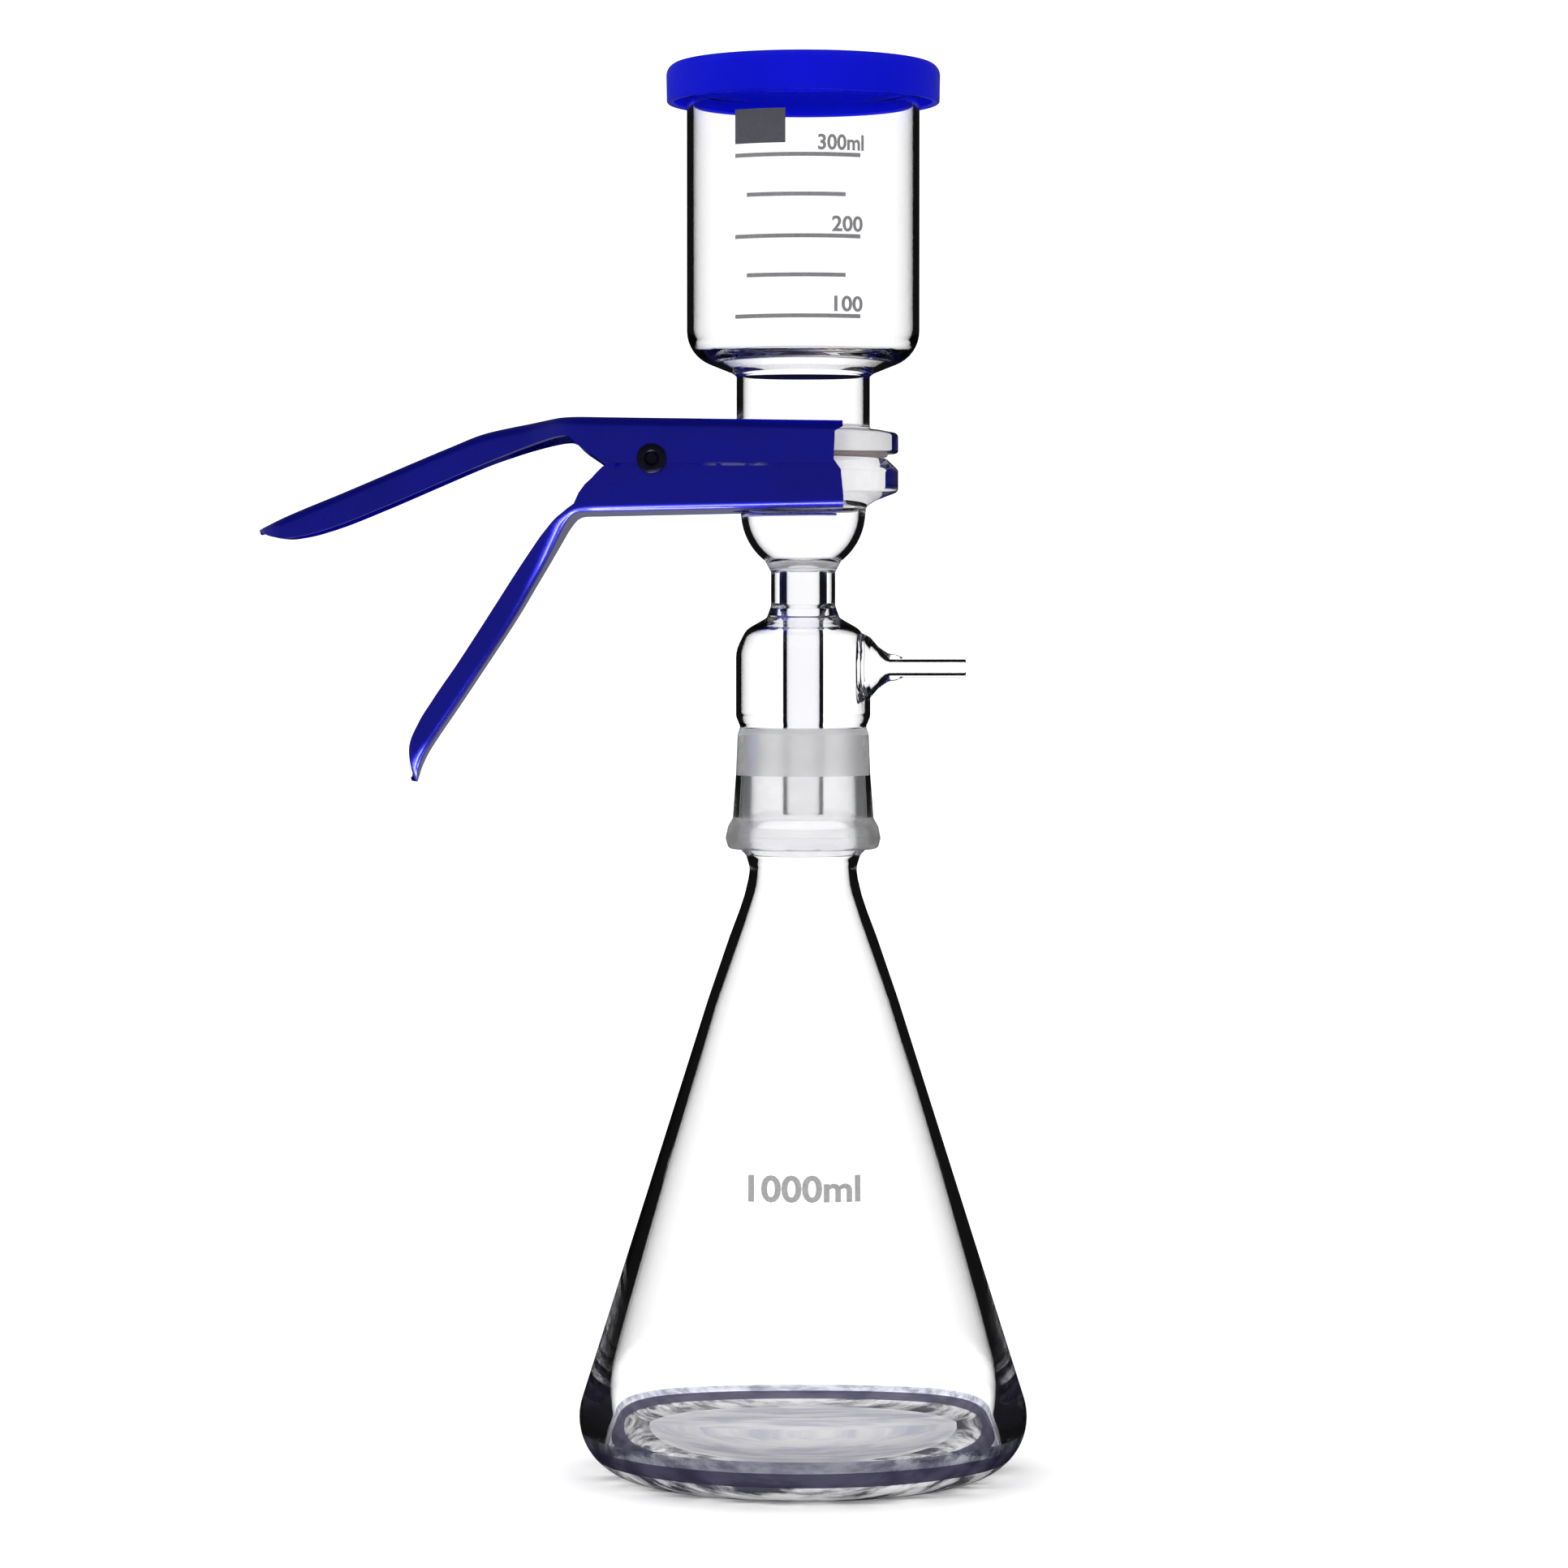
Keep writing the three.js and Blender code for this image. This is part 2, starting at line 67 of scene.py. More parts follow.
PURE_WHITE = (1, 1, 1, 1)

FLASK_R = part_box("receiving_flask")[1][0] / MM


# ---- Meshes ----


def rounded(corners, closed=True):
    """The points of an outline given as (x, y, radius): each corner becomes an arc of that radius."""
    points = []
    count = len(corners)
    for i, (x, y, radius) in enumerate(corners):
        corner = Vector((x, y))
        ends = not closed and i in (0, count - 1)
        if radius == 0 or ends:
            points.append(corner)
            continue
        before = Vector(corners[i - 1][:2]) - corner
        after = Vector(corners[(i + 1) % count][:2]) - corner
        half = before.angle(after) / 2
        if half > math.radians(STRAIGHT_DEGREES / 2):
            points.append(corner)
            continue
        reach = min(radius / math.tan(half), 0.49 * before.length, 0.49 * after.length)
        radius = reach * math.tan(half)
        middle = (before.normalized() + after.normalized()).normalized()
        centre = corner + middle * (radius / math.sin(half))
        spoke = corner + before.normalized() * reach - centre
        turn = math.pi - 2 * half
        if before.cross(after) > 0:
            turn = -turn
        steps = max(1, round(abs(math.degrees(turn)) / ARC_DEGREES))
        for step in range(steps + 1):
            angle = turn * step / steps
            points.append(centre + Matrix.Rotation(angle, 2) @ spoke)
    return points


def arc(x, y, radius, start, stop, steps):
    """Points of a circular arc as sharp corners, angles in degrees."""
    angles = [math.radians(start + (stop - start) * i / steps) for i in range(steps + 1)]
    return [(x + radius * math.cos(a), y + radius * math.sin(a), 0) for a in angles]


def mark_edges(bm):
    """Shades a bmesh smooth, except across its sharp and its open edges."""
    limit = math.radians(SHARP_DEGREES)
    for edge in bm.edges:
        edge.smooth = len(edge.link_faces) == 2 and edge.calc_face_angle() < limit
    for face in bm.faces:
        face.smooth = True


def finished(name, bm):
    """An object of that name from a bmesh in millimetres, smooth except across sharp edges."""
    bmesh.ops.recalc_face_normals(bm, faces=bm.faces)
    bmesh.ops.scale(bm, vec=(MM, MM, MM), verts=bm.verts)
    mark_edges(bm)
    mesh = bpy.data.meshes.new(name)
    bm.to_mesh(mesh)
    bm.free()
    made = bpy.data.objects.new(name, mesh)
    bpy.context.collection.objects.link(made)
    return made


def bridge(bm, low, high):
    """Faces between two rings of as many vertices. A ring on the axis is one vertex, repeated."""
    count = len(low)
    for i in range(count):
        j = (i + 1) % count
        face_corners = dict.fromkeys((low[i], low[j], high[j], high[i]))
        bm.faces.new(face_corners)


def turned(corners, steps=LATHE_STEPS):
    """A bmesh of the section turned about +Z. A section that touches the axis starts and ends on it."""
    bm = bmesh.new()
    on_axis = corners[0][0] == 0
    outline = rounded(corners, closed=not on_axis)
    rings = []
    for radius, height in outline:
        if radius < 1e-6:
            rings.append([bm.verts.new((0, 0, height))] * steps)
            continue
        angles = [2 * math.pi * i / steps for i in range(steps)]
        ring = [bm.verts.new((radius * math.cos(a), radius * math.sin(a), height)) for a in angles]
        rings.append(ring)
    pairs = list(zip(rings, rings[1:]))
    if not on_axis:
        pairs.append((rings[-1], rings[0]))
    for low, high in pairs:
        bridge(bm, low, high)
    return bm


def lathe(name, corners):
    return finished(name, turned(corners))


def laid(bm, x, y, z, offset=(0, 0, 0)):
    """Turns a bmesh so that its own axes lie along the three directions, then moves it."""
    basis = Matrix((x, y, z)).transposed().to_4x4()
    bm.transform(Matrix.Translation(offset) @ basis)
    return bm


def with_modifiers_applied(obj):
    graph = bpy.context.evaluated_depsgraph_get()
    mesh = bpy.data.meshes.new_from_object(obj.evaluated_get(graph))
    obj.modifiers.clear()
    obj.data = mesh


def combined(base, tool, operation):
    """Joins the tool to the base by a boolean and removes the tool."""
    cut = base.modifiers.new("cut", "BOOLEAN")
    cut.operation = operation
    cut.solver = "EXACT"
    cut.object = tool
    with_modifiers_applied(base)
    bpy.data.objects.remove(tool)


def prism(outline, low, high):
    """A bmesh of an outline in X and Y that reaches from one height to another."""
    bm = bmesh.new()
    floor = [bm.verts.new((x, y, low)) for x, y in outline]
    roof = [bm.verts.new((x, y, high)) for x, y in outline]
    bm.faces.new(floor)
    bm.faces.new(roof[::-1])
    count = len(outline)
    for i in range(count):
        j = (i + 1) % count
        bm.faces.new((floor[i], roof[i], roof[j], floor[j]))
    return bm


def sideways(outline, half_width):
    """A prism of an outline in X and Z that reaches the same distance to both sides along Y."""
    bm = prism(outline, -half_width, half_width)
    return laid(bm, (1, 0, 0), (0, 0, 1), (0, -1, 0))


def crisp(obj):
    """Sets an object's edges smooth or sharp again after a boolean or a modifier."""
    bm = bmesh.new()
    bm.from_mesh(obj.data)
    bmesh.ops.dissolve_degenerate(bm, dist=1e-6, edges=bm.edges)
    mark_edges(bm)
    bm.to_mesh(obj.data)
    bm.free()


# ---- Node trees ----


def set_inputs(tree, node, inputs):
    """Links the inputs that are given as sockets and sets those that are given as values."""
    for name, value in inputs.items():
        if isinstance(value, bpy.types.NodeSocket):
            tree.links.new(value, node.inputs[name])
        else:
            node.inputs[name].default_value = value


def add_node(tree, kind, inputs=None, **settings):
    made = tree.nodes.new("ShaderNode" + kind)
    for name, value in settings.items():
        setattr(made, name, value)
    set_inputs(tree, made, inputs or {})
    return made


def maths(tree, operation, a, b=0.0):
    return add_node(tree, "Math", {0: a, 1: b}, operation=operation).outputs[0]


def product(tree, *factors):
    """All the factors multiplied together."""
    total = factors[0]
    for factor in factors[1:]:
        total = maths(tree, "MULTIPLY", total, factor)
    return total


def scaled(tree, value, low, high, to_low=0.0, to_high=1.0):
    """Maps a value's range to another, smoothly and clamped."""
    inputs = {"Value": value, "From Min": low, "From Max": high, "To Min": to_low, "To Max": to_high}
    return add_node(tree, "MapRange", inputs, interpolation_type="SMOOTHSTEP").outputs["Result"]


def noise(tree, place, scale, detail=3.0, roughness=0.55):
    inputs = {"Vector": place, "Scale": scale, "Detail": detail, "Roughness": roughness}
    return add_node(tree, "TexNoise", inputs).outputs["Fac"]


def stretched(tree, place, factors):
    """Coordinates multiplied axis by axis: a small factor draws a pattern out along that axis."""
    return add_node(tree, "VectorMath", {0: place, 1: factors}, operation="MULTIPLY").outputs[0]


def chosen(tree, factor, a, b):
    """The number a where the factor is 0, and b where it is 1."""
    return add_node(tree, "Mix", {"Factor": factor, 2: a, 3: b}).outputs[0]


def blended(tree, factor, a, b, blend_type="MIX"):
    """The colour a where the factor is 0, and b, or b laid over a by the blend type, where it is 1."""
    inputs = {"Factor": factor, 6: a, 7: b}
    return add_node(tree, "Mix", inputs, data_type="RGBA", blend_type=blend_type).outputs[2]


def new_material(name):
    """A material with its tree, its Principled shader and the object's own coordinates."""
    material = bpy.data.materials.new(name)
    material.use_nodes = True
    tree = material.node_tree
    shader = tree.nodes["Principled BSDF"]
    place = tree.nodes.new("ShaderNodeTexCoord").outputs["Object"]
    return material, tree, shader, place


def bumped(tree, shader, height, distance, strength):
    inputs = {"Height": height, "Distance": distance, "Strength": strength}
    bump = add_node(tree, "Bump", inputs)
    tree.links.new(bump.outputs["Normal"], shader.inputs["Normal"])


# ---- Studio ----

CAMERA_AT = (-0.0059, -1.57, 0.2547)
PITCH = 1.51  # degrees the camera looks down
LENS, SENSOR = 117.0, 36.0  # millimetres

# Radiances of the studio, where 1 is shown as white.
WHITE = 1.32  # behind the glass, which loses about a fifth of it
DARK = 0.006  # the dark room that clear glass mirrors
BAND = 0.2  # the horizon that satin faces mirror
CEILING = 0.05  # what they mirror from overhead
GLARE = 42.0  # what they mirror from straight below
BEHIND_GLASS = 0.7  # what they mirror when they lie behind glass
FILL = 0.74  # light on matt faces from all round
KEY = 0.62  # light on matt faces from the front, above and to the left
GLASS_GAIN = 1.6  # how much brighter matt faces behind glass are lit

KEY_AIM = (-0.45, -0.75, 0.55)
KEY_FADE = (-0.9, 0.95)  # cosines of the angles from its aim between which the key light fades
BAND_FADE = (0.12, 0.62)  # sines of the elevations between which the band fades into the ceiling
GLARE_FADE = (-0.90, -0.985)  # sines of the elevations between which the glare sets in

FLOOR_R = 420.0
FLOOR_HEIGHTS = (-1.0, -0.2)  # the top lies just under the foot of the flask
FLOOR_STEPS = 96
FLOOR_FADE = (0.06, 0.315)  # metres from the middle at which it starts to fade and is gone
FLOOR_GLOW = 0.12
WALL_GLOW = 0.06  # glow added for each glass surface that the floor is seen through
WALL_GLOW_MOST = 0.25
SPOT_GLOW = (22.0, 0.5)  # glow added for satin faces that mirror the floor, near the middle and far out
SPOT_FADE = (0.08, 0.15)  # metres from the middle between which that glow falls
FLOOR_DARK = (0.006, 0.006, 0.008, 1)


def studio_camera():
    data = bpy.data.cameras.new("camera")
    data.lens = LENS
    data.sensor_width = SENSOR
    data.clip_end = 20
    camera = bpy.data.objects.new("camera", data)
    camera.location = CAMERA_AT
    camera.rotation_euler = (math.radians(90 - PITCH), 0, 0)
    bpy.context.collection.objects.link(camera)
    bpy.context.scene.camera = camera


def key_light(tree, direction):
    """The radiance of one wide soft light, which fades slowly away from its aim."""
    aim = Vector(KEY_AIM).normalized()
    near = add_node(tree, "VectorMath", {0: direction, 1: aim}, operation="DOT_PRODUCT").outputs["Value"]
    return scaled(tree, near, *KEY_FADE, 0.0, KEY)


def mirrored_sharply(tree, path):
    """1 for light that clear glass has mirrored on its way, where a bright-field set-up is dark."""
    is_mirrored = maths(tree, "GREATER_THAN", path["Glossy Depth"], 0.5)
    is_direct = maths(tree, "LESS_THAN", path["Diffuse Depth"], 0.5)
    return product(tree, is_mirrored, path["Is Singular Ray"], is_direct)


def mirrored_softly(tree, path):
    """1 for light that a satin face has mirrored straight towards the camera."""
    is_mirrored = maths(tree, "GREATER_THAN", path["Glossy Depth"], 0.5)
    is_soft = maths(tree, "SUBTRACT", 1.0, path["Is Singular Ray"])
    bounces = maths(tree, "ADD", path["Diffuse Depth"], path["Transmission Depth"])
    is_direct = maths(tree, "LESS_THAN", bounces, 0.5)
    return product(tree, is_mirrored, is_soft, is_direct)


def studio_world():
    """Bright-field light: white behind glass, dark where glass mirrors, a soft band round satin faces."""
    world = bpy.data.worlds.new("studio")
    world.use_nodes = True
    world.cycles.sampling_method = "NONE"
    bpy.context.scene.world = world
    tree = world.node_tree
    direction = tree.nodes.new("ShaderNodeTexCoord").outputs["Generated"]
    height = add_node(tree, "SeparateXYZ", {0: direction}).outputs["Z"]
    path = tree.nodes.new("ShaderNodeLightPath").outputs
    is_lit = maths(tree, "GREATER_THAN", path["Diffuse Depth"], 0.5)
    is_mirrored = maths(tree, "GREATER_THAN", path["Glossy Depth"], 0.5)
    is_behind_glass = maths(tree, "GREATER_THAN", path["Transmission Depth"], 0.5)

    gain = chosen(tree, is_behind_glass, 1.0, GLASS_GAIN)
    lit = product(tree, maths(tree, "ADD", key_light(tree, direction), FILL), gain)

    above = scaled(tree, height, *BAND_FADE, BAND, CEILING)
    below = scaled(tree, height, *GLARE_FADE, 0.0, GLARE)
    room = maths(tree, "ADD", above, product(tree, below, mirrored_softly(tree, path)))
    room = chosen(tree, is_behind_glass, room, BEHIND_GLASS)

    seen = chosen(tree, is_mirrored, WHITE, room)
    seen = chosen(tree, mirrored_sharply(tree, path), seen, DARK)
    radiance = chosen(tree, is_lit, seen, lit)
    set_inputs(tree, tree.nodes["Background"], {"Color": PURE_WHITE, "Strength": radiance})


def pale_floor():
    """Matt off-white, lit a little from within, that fades out away from the middle."""
    material, tree, shader, place = new_material("pale_floor")
    path = tree.nodes.new("ShaderNodeLightPath").outputs
    is_dark = mirrored_sharply(tree, path)
    grain = scaled(tree, noise(tree, place, 40.0), 0.3, 0.7)
    pale = blended(tree, grain, (0.95, 0.95, 0.95, 1), (0.98, 0.98, 0.98, 1))
    reach = add_node(tree, "VectorMath", {0: place}, operation="LENGTH").outputs["Value"]
    spot = product(tree, mirrored_softly(tree, path), scaled(tree, reach, *SPOT_FADE, *SPOT_GLOW))
    through_walls = product(tree, path["Transmission Depth"], WALL_GLOW)
    behind = maths(tree, "MINIMUM", through_walls, WALL_GLOW_MOST)
    glow = maths(tree, "ADD", maths(tree, "ADD", spot, behind), FLOOR_GLOW)
    skin = {
        "Base Color": blended(tree, is_dark, pale, FLOOR_DARK),
        "Roughness": 0.9,
        "Specular IOR Level": 0.0,
        "Emission Color": PURE_WHITE,
        "Emission Strength": product(tree, glow, maths(tree, "SUBTRACT", 1.0, is_dark)),
    }
    set_inputs(tree, shader, skin)
    fade = scaled(tree, reach, *FLOOR_FADE)
    nothing = add_node(tree, "BsdfTransparent").outputs[0]
    surface = add_node(tree, "MixShader", {0: fade, 1: shader.outputs[0], 2: nothing}).outputs[0]
    tree.links.new(surface, tree.nodes["Material Output"].inputs["Surface"])
    return material


def studio_floor():
    """A thin round slab under the flask."""
    low, top = FLOOR_HEIGHTS
    slab = turned([(0, low, 0), (FLOOR_R, low, 0), (FLOOR_R, top, 0), (0, top, 0)], FLOOR_STEPS)
    floor = finished("studio_floor", slab)
    floor.data.materials.append(pale_floor())


# ---- Materials ----

GLASS_IOR = 1.473  # borosilicate


def clear_glass():
    """Borosilicate: faint cold tint in slow clouds and the slight waviness left by the lamp."""
    material, tree, shader, place = new_material("clear_borosilicate")
    tint = scaled(tree, noise(tree, place, 14.0), 0.35, 0.7)
    skin = {
        "Base Color": blended(tree, tint, PURE_WHITE, (0.99, 0.99, 1.0, 1)),
        "Roughness": 0.0,
        "Transmission Weight": 1.0,
        "IOR": GLASS_IOR,
    }
    set_inputs(tree, shader, skin)
    bumped(tree, shader, noise(tree, place, 22.0, 1.0), 0.0003, 0.25)
    return material


def frosted_glass(name, clearness, rough, dark, light=PURE_WHITE, gloss=0.5):
    """A ground face of the same glass: part of the light passes, the rest scatters white. Also used for
    the painted shade, painted reflections and painted floor colour on the flask's heel, foot and base.
    """
    material, tree, shader, place = new_material(name)
    lines = noise(tree, stretched(tree, place, (0.0, 0.0, 1.0)), 1500.0, 2.0)
    grain = noise(tree, place, 900.0, 3.0, 0.7)
    streaks = noise(tree, stretched(tree, place, (1.0, 4.0, 3.0)), 45.0, 5.0, 0.65)
    skin = {
        "Base Color": blended(tree, scaled(tree, streaks, 0.38, 0.62), dark, light),
        "Roughness": scaled(tree, lines, 0.3, 0.7, rough * 0.8, rough * 1.2),
        "Specular IOR Level": gloss,
        "Transmission Weight": clearness,
        "IOR": GLASS_IOR,
    }
    set_inputs(tree, shader, skin)
    bumped(tree, shader, grain, 0.00004, 0.5)
    return material


def sintered_glass():
    """Fused glass grains: matt white with pores between the grains."""
    material, tree, shader, place = new_material("sintered_glass")
    cells = add_node(tree, "TexVoronoi", {"Vector": place, "Scale": 2200.0}).outputs["Distance"]
    cloud = noise(tree, place, 160.0, 4.0)
    grains = blended(tree, cloud, (0.86, 0.83, 0.83, 1), (0.95, 0.93, 0.93, 1))
    pores = scaled(tree, cells, 0.0, 0.25, 0.75, 1.0)
    skin = {"Base Color": blended(tree, 1.0, grains, pores, "MULTIPLY"), "Roughness": 0.85}
    set_inputs(tree, shader, skin)
    bumped(tree, shader, cells, 0.00015, 0.6)
    return material


def seal_rubber():
    """Grey-brown silicone rubber, matt and slightly grainy."""
    material, tree, shader, place = new_material("seal_rubber")
    cloud = noise(tree, place, 300.0, 4.0)
    skin = {
        "Base Color": blended(tree, cloud, (0.20, 0.165, 0.155, 1), (0.33, 0.28, 0.265, 1)),
        "Roughness": scaled(tree, cloud, 0.3, 0.7, 0.5, 0.7),
    }
    set_inputs(tree, shader, skin)
    bumped(tree, shader, noise(tree, place, 1800.0), 0.00004, 0.5)
    return material


def cap_plastic(name, deep, light):
    """Moulded polypropylene: saturated blue, satin skin with a faint orange peel and rubbed spots."""
    material, tree, shader, place = new_material(name)
    rub = noise(tree, place, 170.0, 5.0)
    skin = {
        "Base Color": blended(tree, noise(tree, place, 30.0, 4.0), deep, light),
        "Roughness": scaled(tree, rub, 0.3, 0.75, 0.30, 0.46),
        "Specular IOR Level": 0.05,
    }
    set_inputs(tree, shader, skin)
    bumped(tree, shader, noise(tree, place, 700.0, 2.0), 0.00003, 0.4)
    return material


SEAM_Z = 0.3106  # metres; height at which the two jaws meet


def painted_seam_glint(tree, place):
    """1 along the short broken streak of painted highlight at the seam where the two jaws meet."""
    x, _, z = add_node(tree, "SeparateXYZ", {0: place}).outputs
    off_seam = maths(tree, "ABSOLUTE", maths(tree, "SUBTRACT", z, SEAM_Z))
    narrow = scaled(tree, off_seam, 0.0001, 0.0006, 1.0, 0.0)
    start = scaled(tree, x, -0.031, -0.026)
    stop = scaled(tree, x, -0.014, -0.010, 1.0, 0.0)
    broken = scaled(tree, noise(tree, place, 220.0), 0.38, 0.5)
    return product(tree, narrow, start, stop, broken)


def anodised_sheet():
    """Blue anodised aluminium sheet: rolling lines along the metal, small clouds and a painted highlight
    along the seam.
    """
    material, tree, shader, place = new_material("anodised_blue_sheet")
    lines = noise(tree, stretched(tree, place, (0.06, 1.0, 1.0)), 1400.0, 3.0)
    cloud = noise(tree, place, 45.0, 4.0)
    blue = blended(tree, cloud, (0.0008, 0.0016, 0.44, 1), (0.0016, 0.004, 0.70, 1))
    skin = {
        # The seam streak is a painted highlight: light lavender laid over the blue.
        "Base Color": blended(tree, painted_seam_glint(tree, place), blue, (0.30, 0.28, 0.62, 1)),
        "Roughness": scaled(tree, lines, 0.3, 0.7, 0.26, 0.38),
        "Metallic": 0.85,
        "Coat Weight": 0.8,
        "Coat Roughness": 0.16,
    }
    set_inputs(tree, shader, skin)
    bumped(tree, shader, lines, 0.000008, 0.25)
    return material


def dark_steel():
    """Blackened steel with small clouds that change the shade and the gloss together."""
    material, tree, shader, place = new_material("blackened_steel")
    cloud = noise(tree, place, 500.0, 4.0)
    skin = {
        "Base Color": blended(tree, cloud, (0.004, 0.004, 0.012, 1), (0.02, 0.02, 0.05, 1)),
        "Roughness": scaled(tree, cloud, 0.3, 0.7, 0.22, 0.42),
        "Metallic": 0.8,
    }
    set_inputs(tree, shader, skin)
    bumped(tree, shader, noise(tree, place, 1500.0), 0.00003, 0.4)
    return material


def spring_steel():
    """Bright drawn wire, clouded by handling."""
    material, tree, shader, place = new_material("spring_wire")
    cloud = noise(tree, place, 900.0, 4.0)
    skin = {
        "Base Color": blended(tree, cloud, (0.30, 0.30, 0.31, 1), (0.52, 0.52, 0.54, 1)),
        "Roughness": scaled(tree, cloud, 0.3, 0.7, 0.2, 0.38),
        "Metallic": 1.0,
    }
    set_inputs(tree, shader, skin)
    return material


def enamel_print(name, dark, light):
    """Grey enamel fired on the glass, thin and broken in small spots."""
    material, tree, shader, place = new_material(name)
    cloud = noise(tree, place, 1300.0, 4.0)
    skin = {
        "Base Color": blended(tree, cloud, dark, light),
        "Roughness": scaled(tree, cloud, 0.3, 0.7, 0.45, 0.7),
    }
    set_inputs(tree, shader, skin)
    return material


CLEAR = clear_glass()
DRY_GROUND = frosted_glass("dry_ground_face", 0.93, 0.42, (0.90, 0.90, 0.90, 1), (0.96, 0.96, 0.97, 1))
GREASED_GROUND = frosted_glass("greased_ground_face", 0.90, 0.16, (0.93, 0.93, 0.95, 1))
SAWN_GLASS = frosted_glass("sawn_bore_face", 0.0, 0.5, (0.93, 0.93, 0.94, 1), gloss=0.0)
# Painted view of the floor: the base's faces are painted lavender grey, as the floor looks through the
# glass.
BASE_PAINTED_FLOOR = frosted_glass("base_painted_floor_face", 0.15, 0.10, (0.70, 0.69, 0.80, 1))
# Painted shade: a dark band painted round the heel, and above it a band where that painted shade fades
# out.
PAINTED_HEEL_SHADE = frosted_glass("painted_heel_shade_face", 0.36, 0.0, (0.02, 0.018, 0.04, 1), (0.055, 0.05, 0.09, 1))
PAINTED_HEEL_SHADE_FADE = frosted_glass("painted_heel_shade_fade_face", 0.88, 0.0, (0.10, 0.10, 0.16, 1), (0.45, 0.45, 0.55, 1))
# Painted shade and painted reflections: dark faces with white streaks round the foot.
PAINTED_FOOT_STREAKS = frosted_glass("painted_foot_reflections_face", 0.3, 0.0, (0.06, 0.06, 0.08, 1))
FUSED_GLASS = frosted_glass("fused_seam_face", 0.4, 0.0, (0.85, 0.85, 0.88, 1))
SHEET_METAL = anodised_sheet()


# ---- Glass ----

HEEL_R = 18.2
HEEL_SKIN = 1.7  # how deep the outside of the heel is taken to reach
HEEL_FROM_R = 46.0  # radius at which the foot passes into the heel
BASE_R = FLASK_R - HEEL_R
CONE_TILT = 17.5  # degrees between the cone wall and the vertical
CONE_TOP_R, CONE_TOP_Z = 29.3, 147.0
JOINT_FOOT = 196.0
GROUND_FROM, GROUND_TO = 216.2, 230.4


def glaze(obj, zones=()):
    """Gives a glass piece its clear faces, and other faces to the zones: (material, test of r and z)."""
    obj.data.materials.append(CLEAR)
    for number, (material, inside) in enumerate(zones, 1):
        obj.data.materials.append(material)
        for face in obj.data.polygons:
            x, y, z = face.center / MM
            if inside(math.hypot(x, y), z):
                face.material_index = number


def between(inner, outer, low, high):
    """A test of a face's centre: true between two radii and two heights."""
    return lambda r, z: inner < r < outer and low < z < high


def on_outer_heel(low, high):
    """A test of a face's centre: true between two heights on the outside of the flask's round heel."""

    def inside(r, z):
        is_outside = math.hypot(r - BASE_R, z - HEEL_R) > HEEL_R - HEEL_SKIN
        return low < z < high and r > HEEL_FROM_R and is_outside

    return inside


def receiving_flask():
    """Conical flask with a thick round heel, a flat foot and an outer ground cone on its neck."""
    section = [
        (0, 0.9, 0),
        (34, 0.6, 10),
        (42, 0, 10),
        *arc(BASE_R, HEEL_R, HEEL_R, -90, CONE_TILT, 18),
        (CONE_TOP_R, CONE_TOP_Z, 60),
        (22.8, 166, 60),
        (19.6, 174.5, 40),
        (17.3, 181.5, 30),
        (16.4, 187.4, 6),
        (17.6, 191.4, 3),
        (20, 194, 1.5),
        (18.95, 216, 0),
        (18.25, 230, 0.8),
        (15.8, 230, 0.8),
        (16.6, 195, 4),
        (13.9, 189.4, 5),
        (14.4, 182, 20),
        (17.7, 171.5, 60),
        (26.4, 147, 100),
        (41.7, 97, 200),
        (53.8, 54, 200),
        (60.9, 28, 60),
        (60.6, 4.4, 15),
        (40, 4.4, 20),
        (0, 5.4, 0),
    ]
    flask = lathe("flask_glass", section)
    zones = (
        (DRY_GROUND, between(17.6, 20.2, GROUND_FROM, GROUND_TO)),
        (GREASED_GROUND, between(17.6, 20.2, JOINT_FOOT, GROUND_FROM)),
        # Painted lavender grey on the base, for the floor seen through it.
        (BASE_PAINTED_FLOOR, between(0, 53, 3.5, 7.0)),
        # Painted shade on the heel, fading out upwards.
        (PAINTED_HEEL_SHADE, on_outer_heel(6.5, 10.8)),
        (PAINTED_HEEL_SHADE_FADE, on_outer_heel(10.8, 14.0)),
        # Painted shade and painted reflections round the foot.
        (PAINTED_FOOT_STREAKS, on_outer_heel(-1.0, 6.5)),
    )
    glaze(flask, zones)
    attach(flask, "flask")
    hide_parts("receiving_flask")


BOWL_Z = 297.1
BOWL_R = 19.15
BOWL_INNER_R = 17.15
NIPPLE_Z = 249.2
TUBE_R, TUBE_BORE_R = 6.2, 5.1
TIP_Z = 203.0
TIP_SLOPE = 0.13  # rise of the slanted tip per millimetre across it


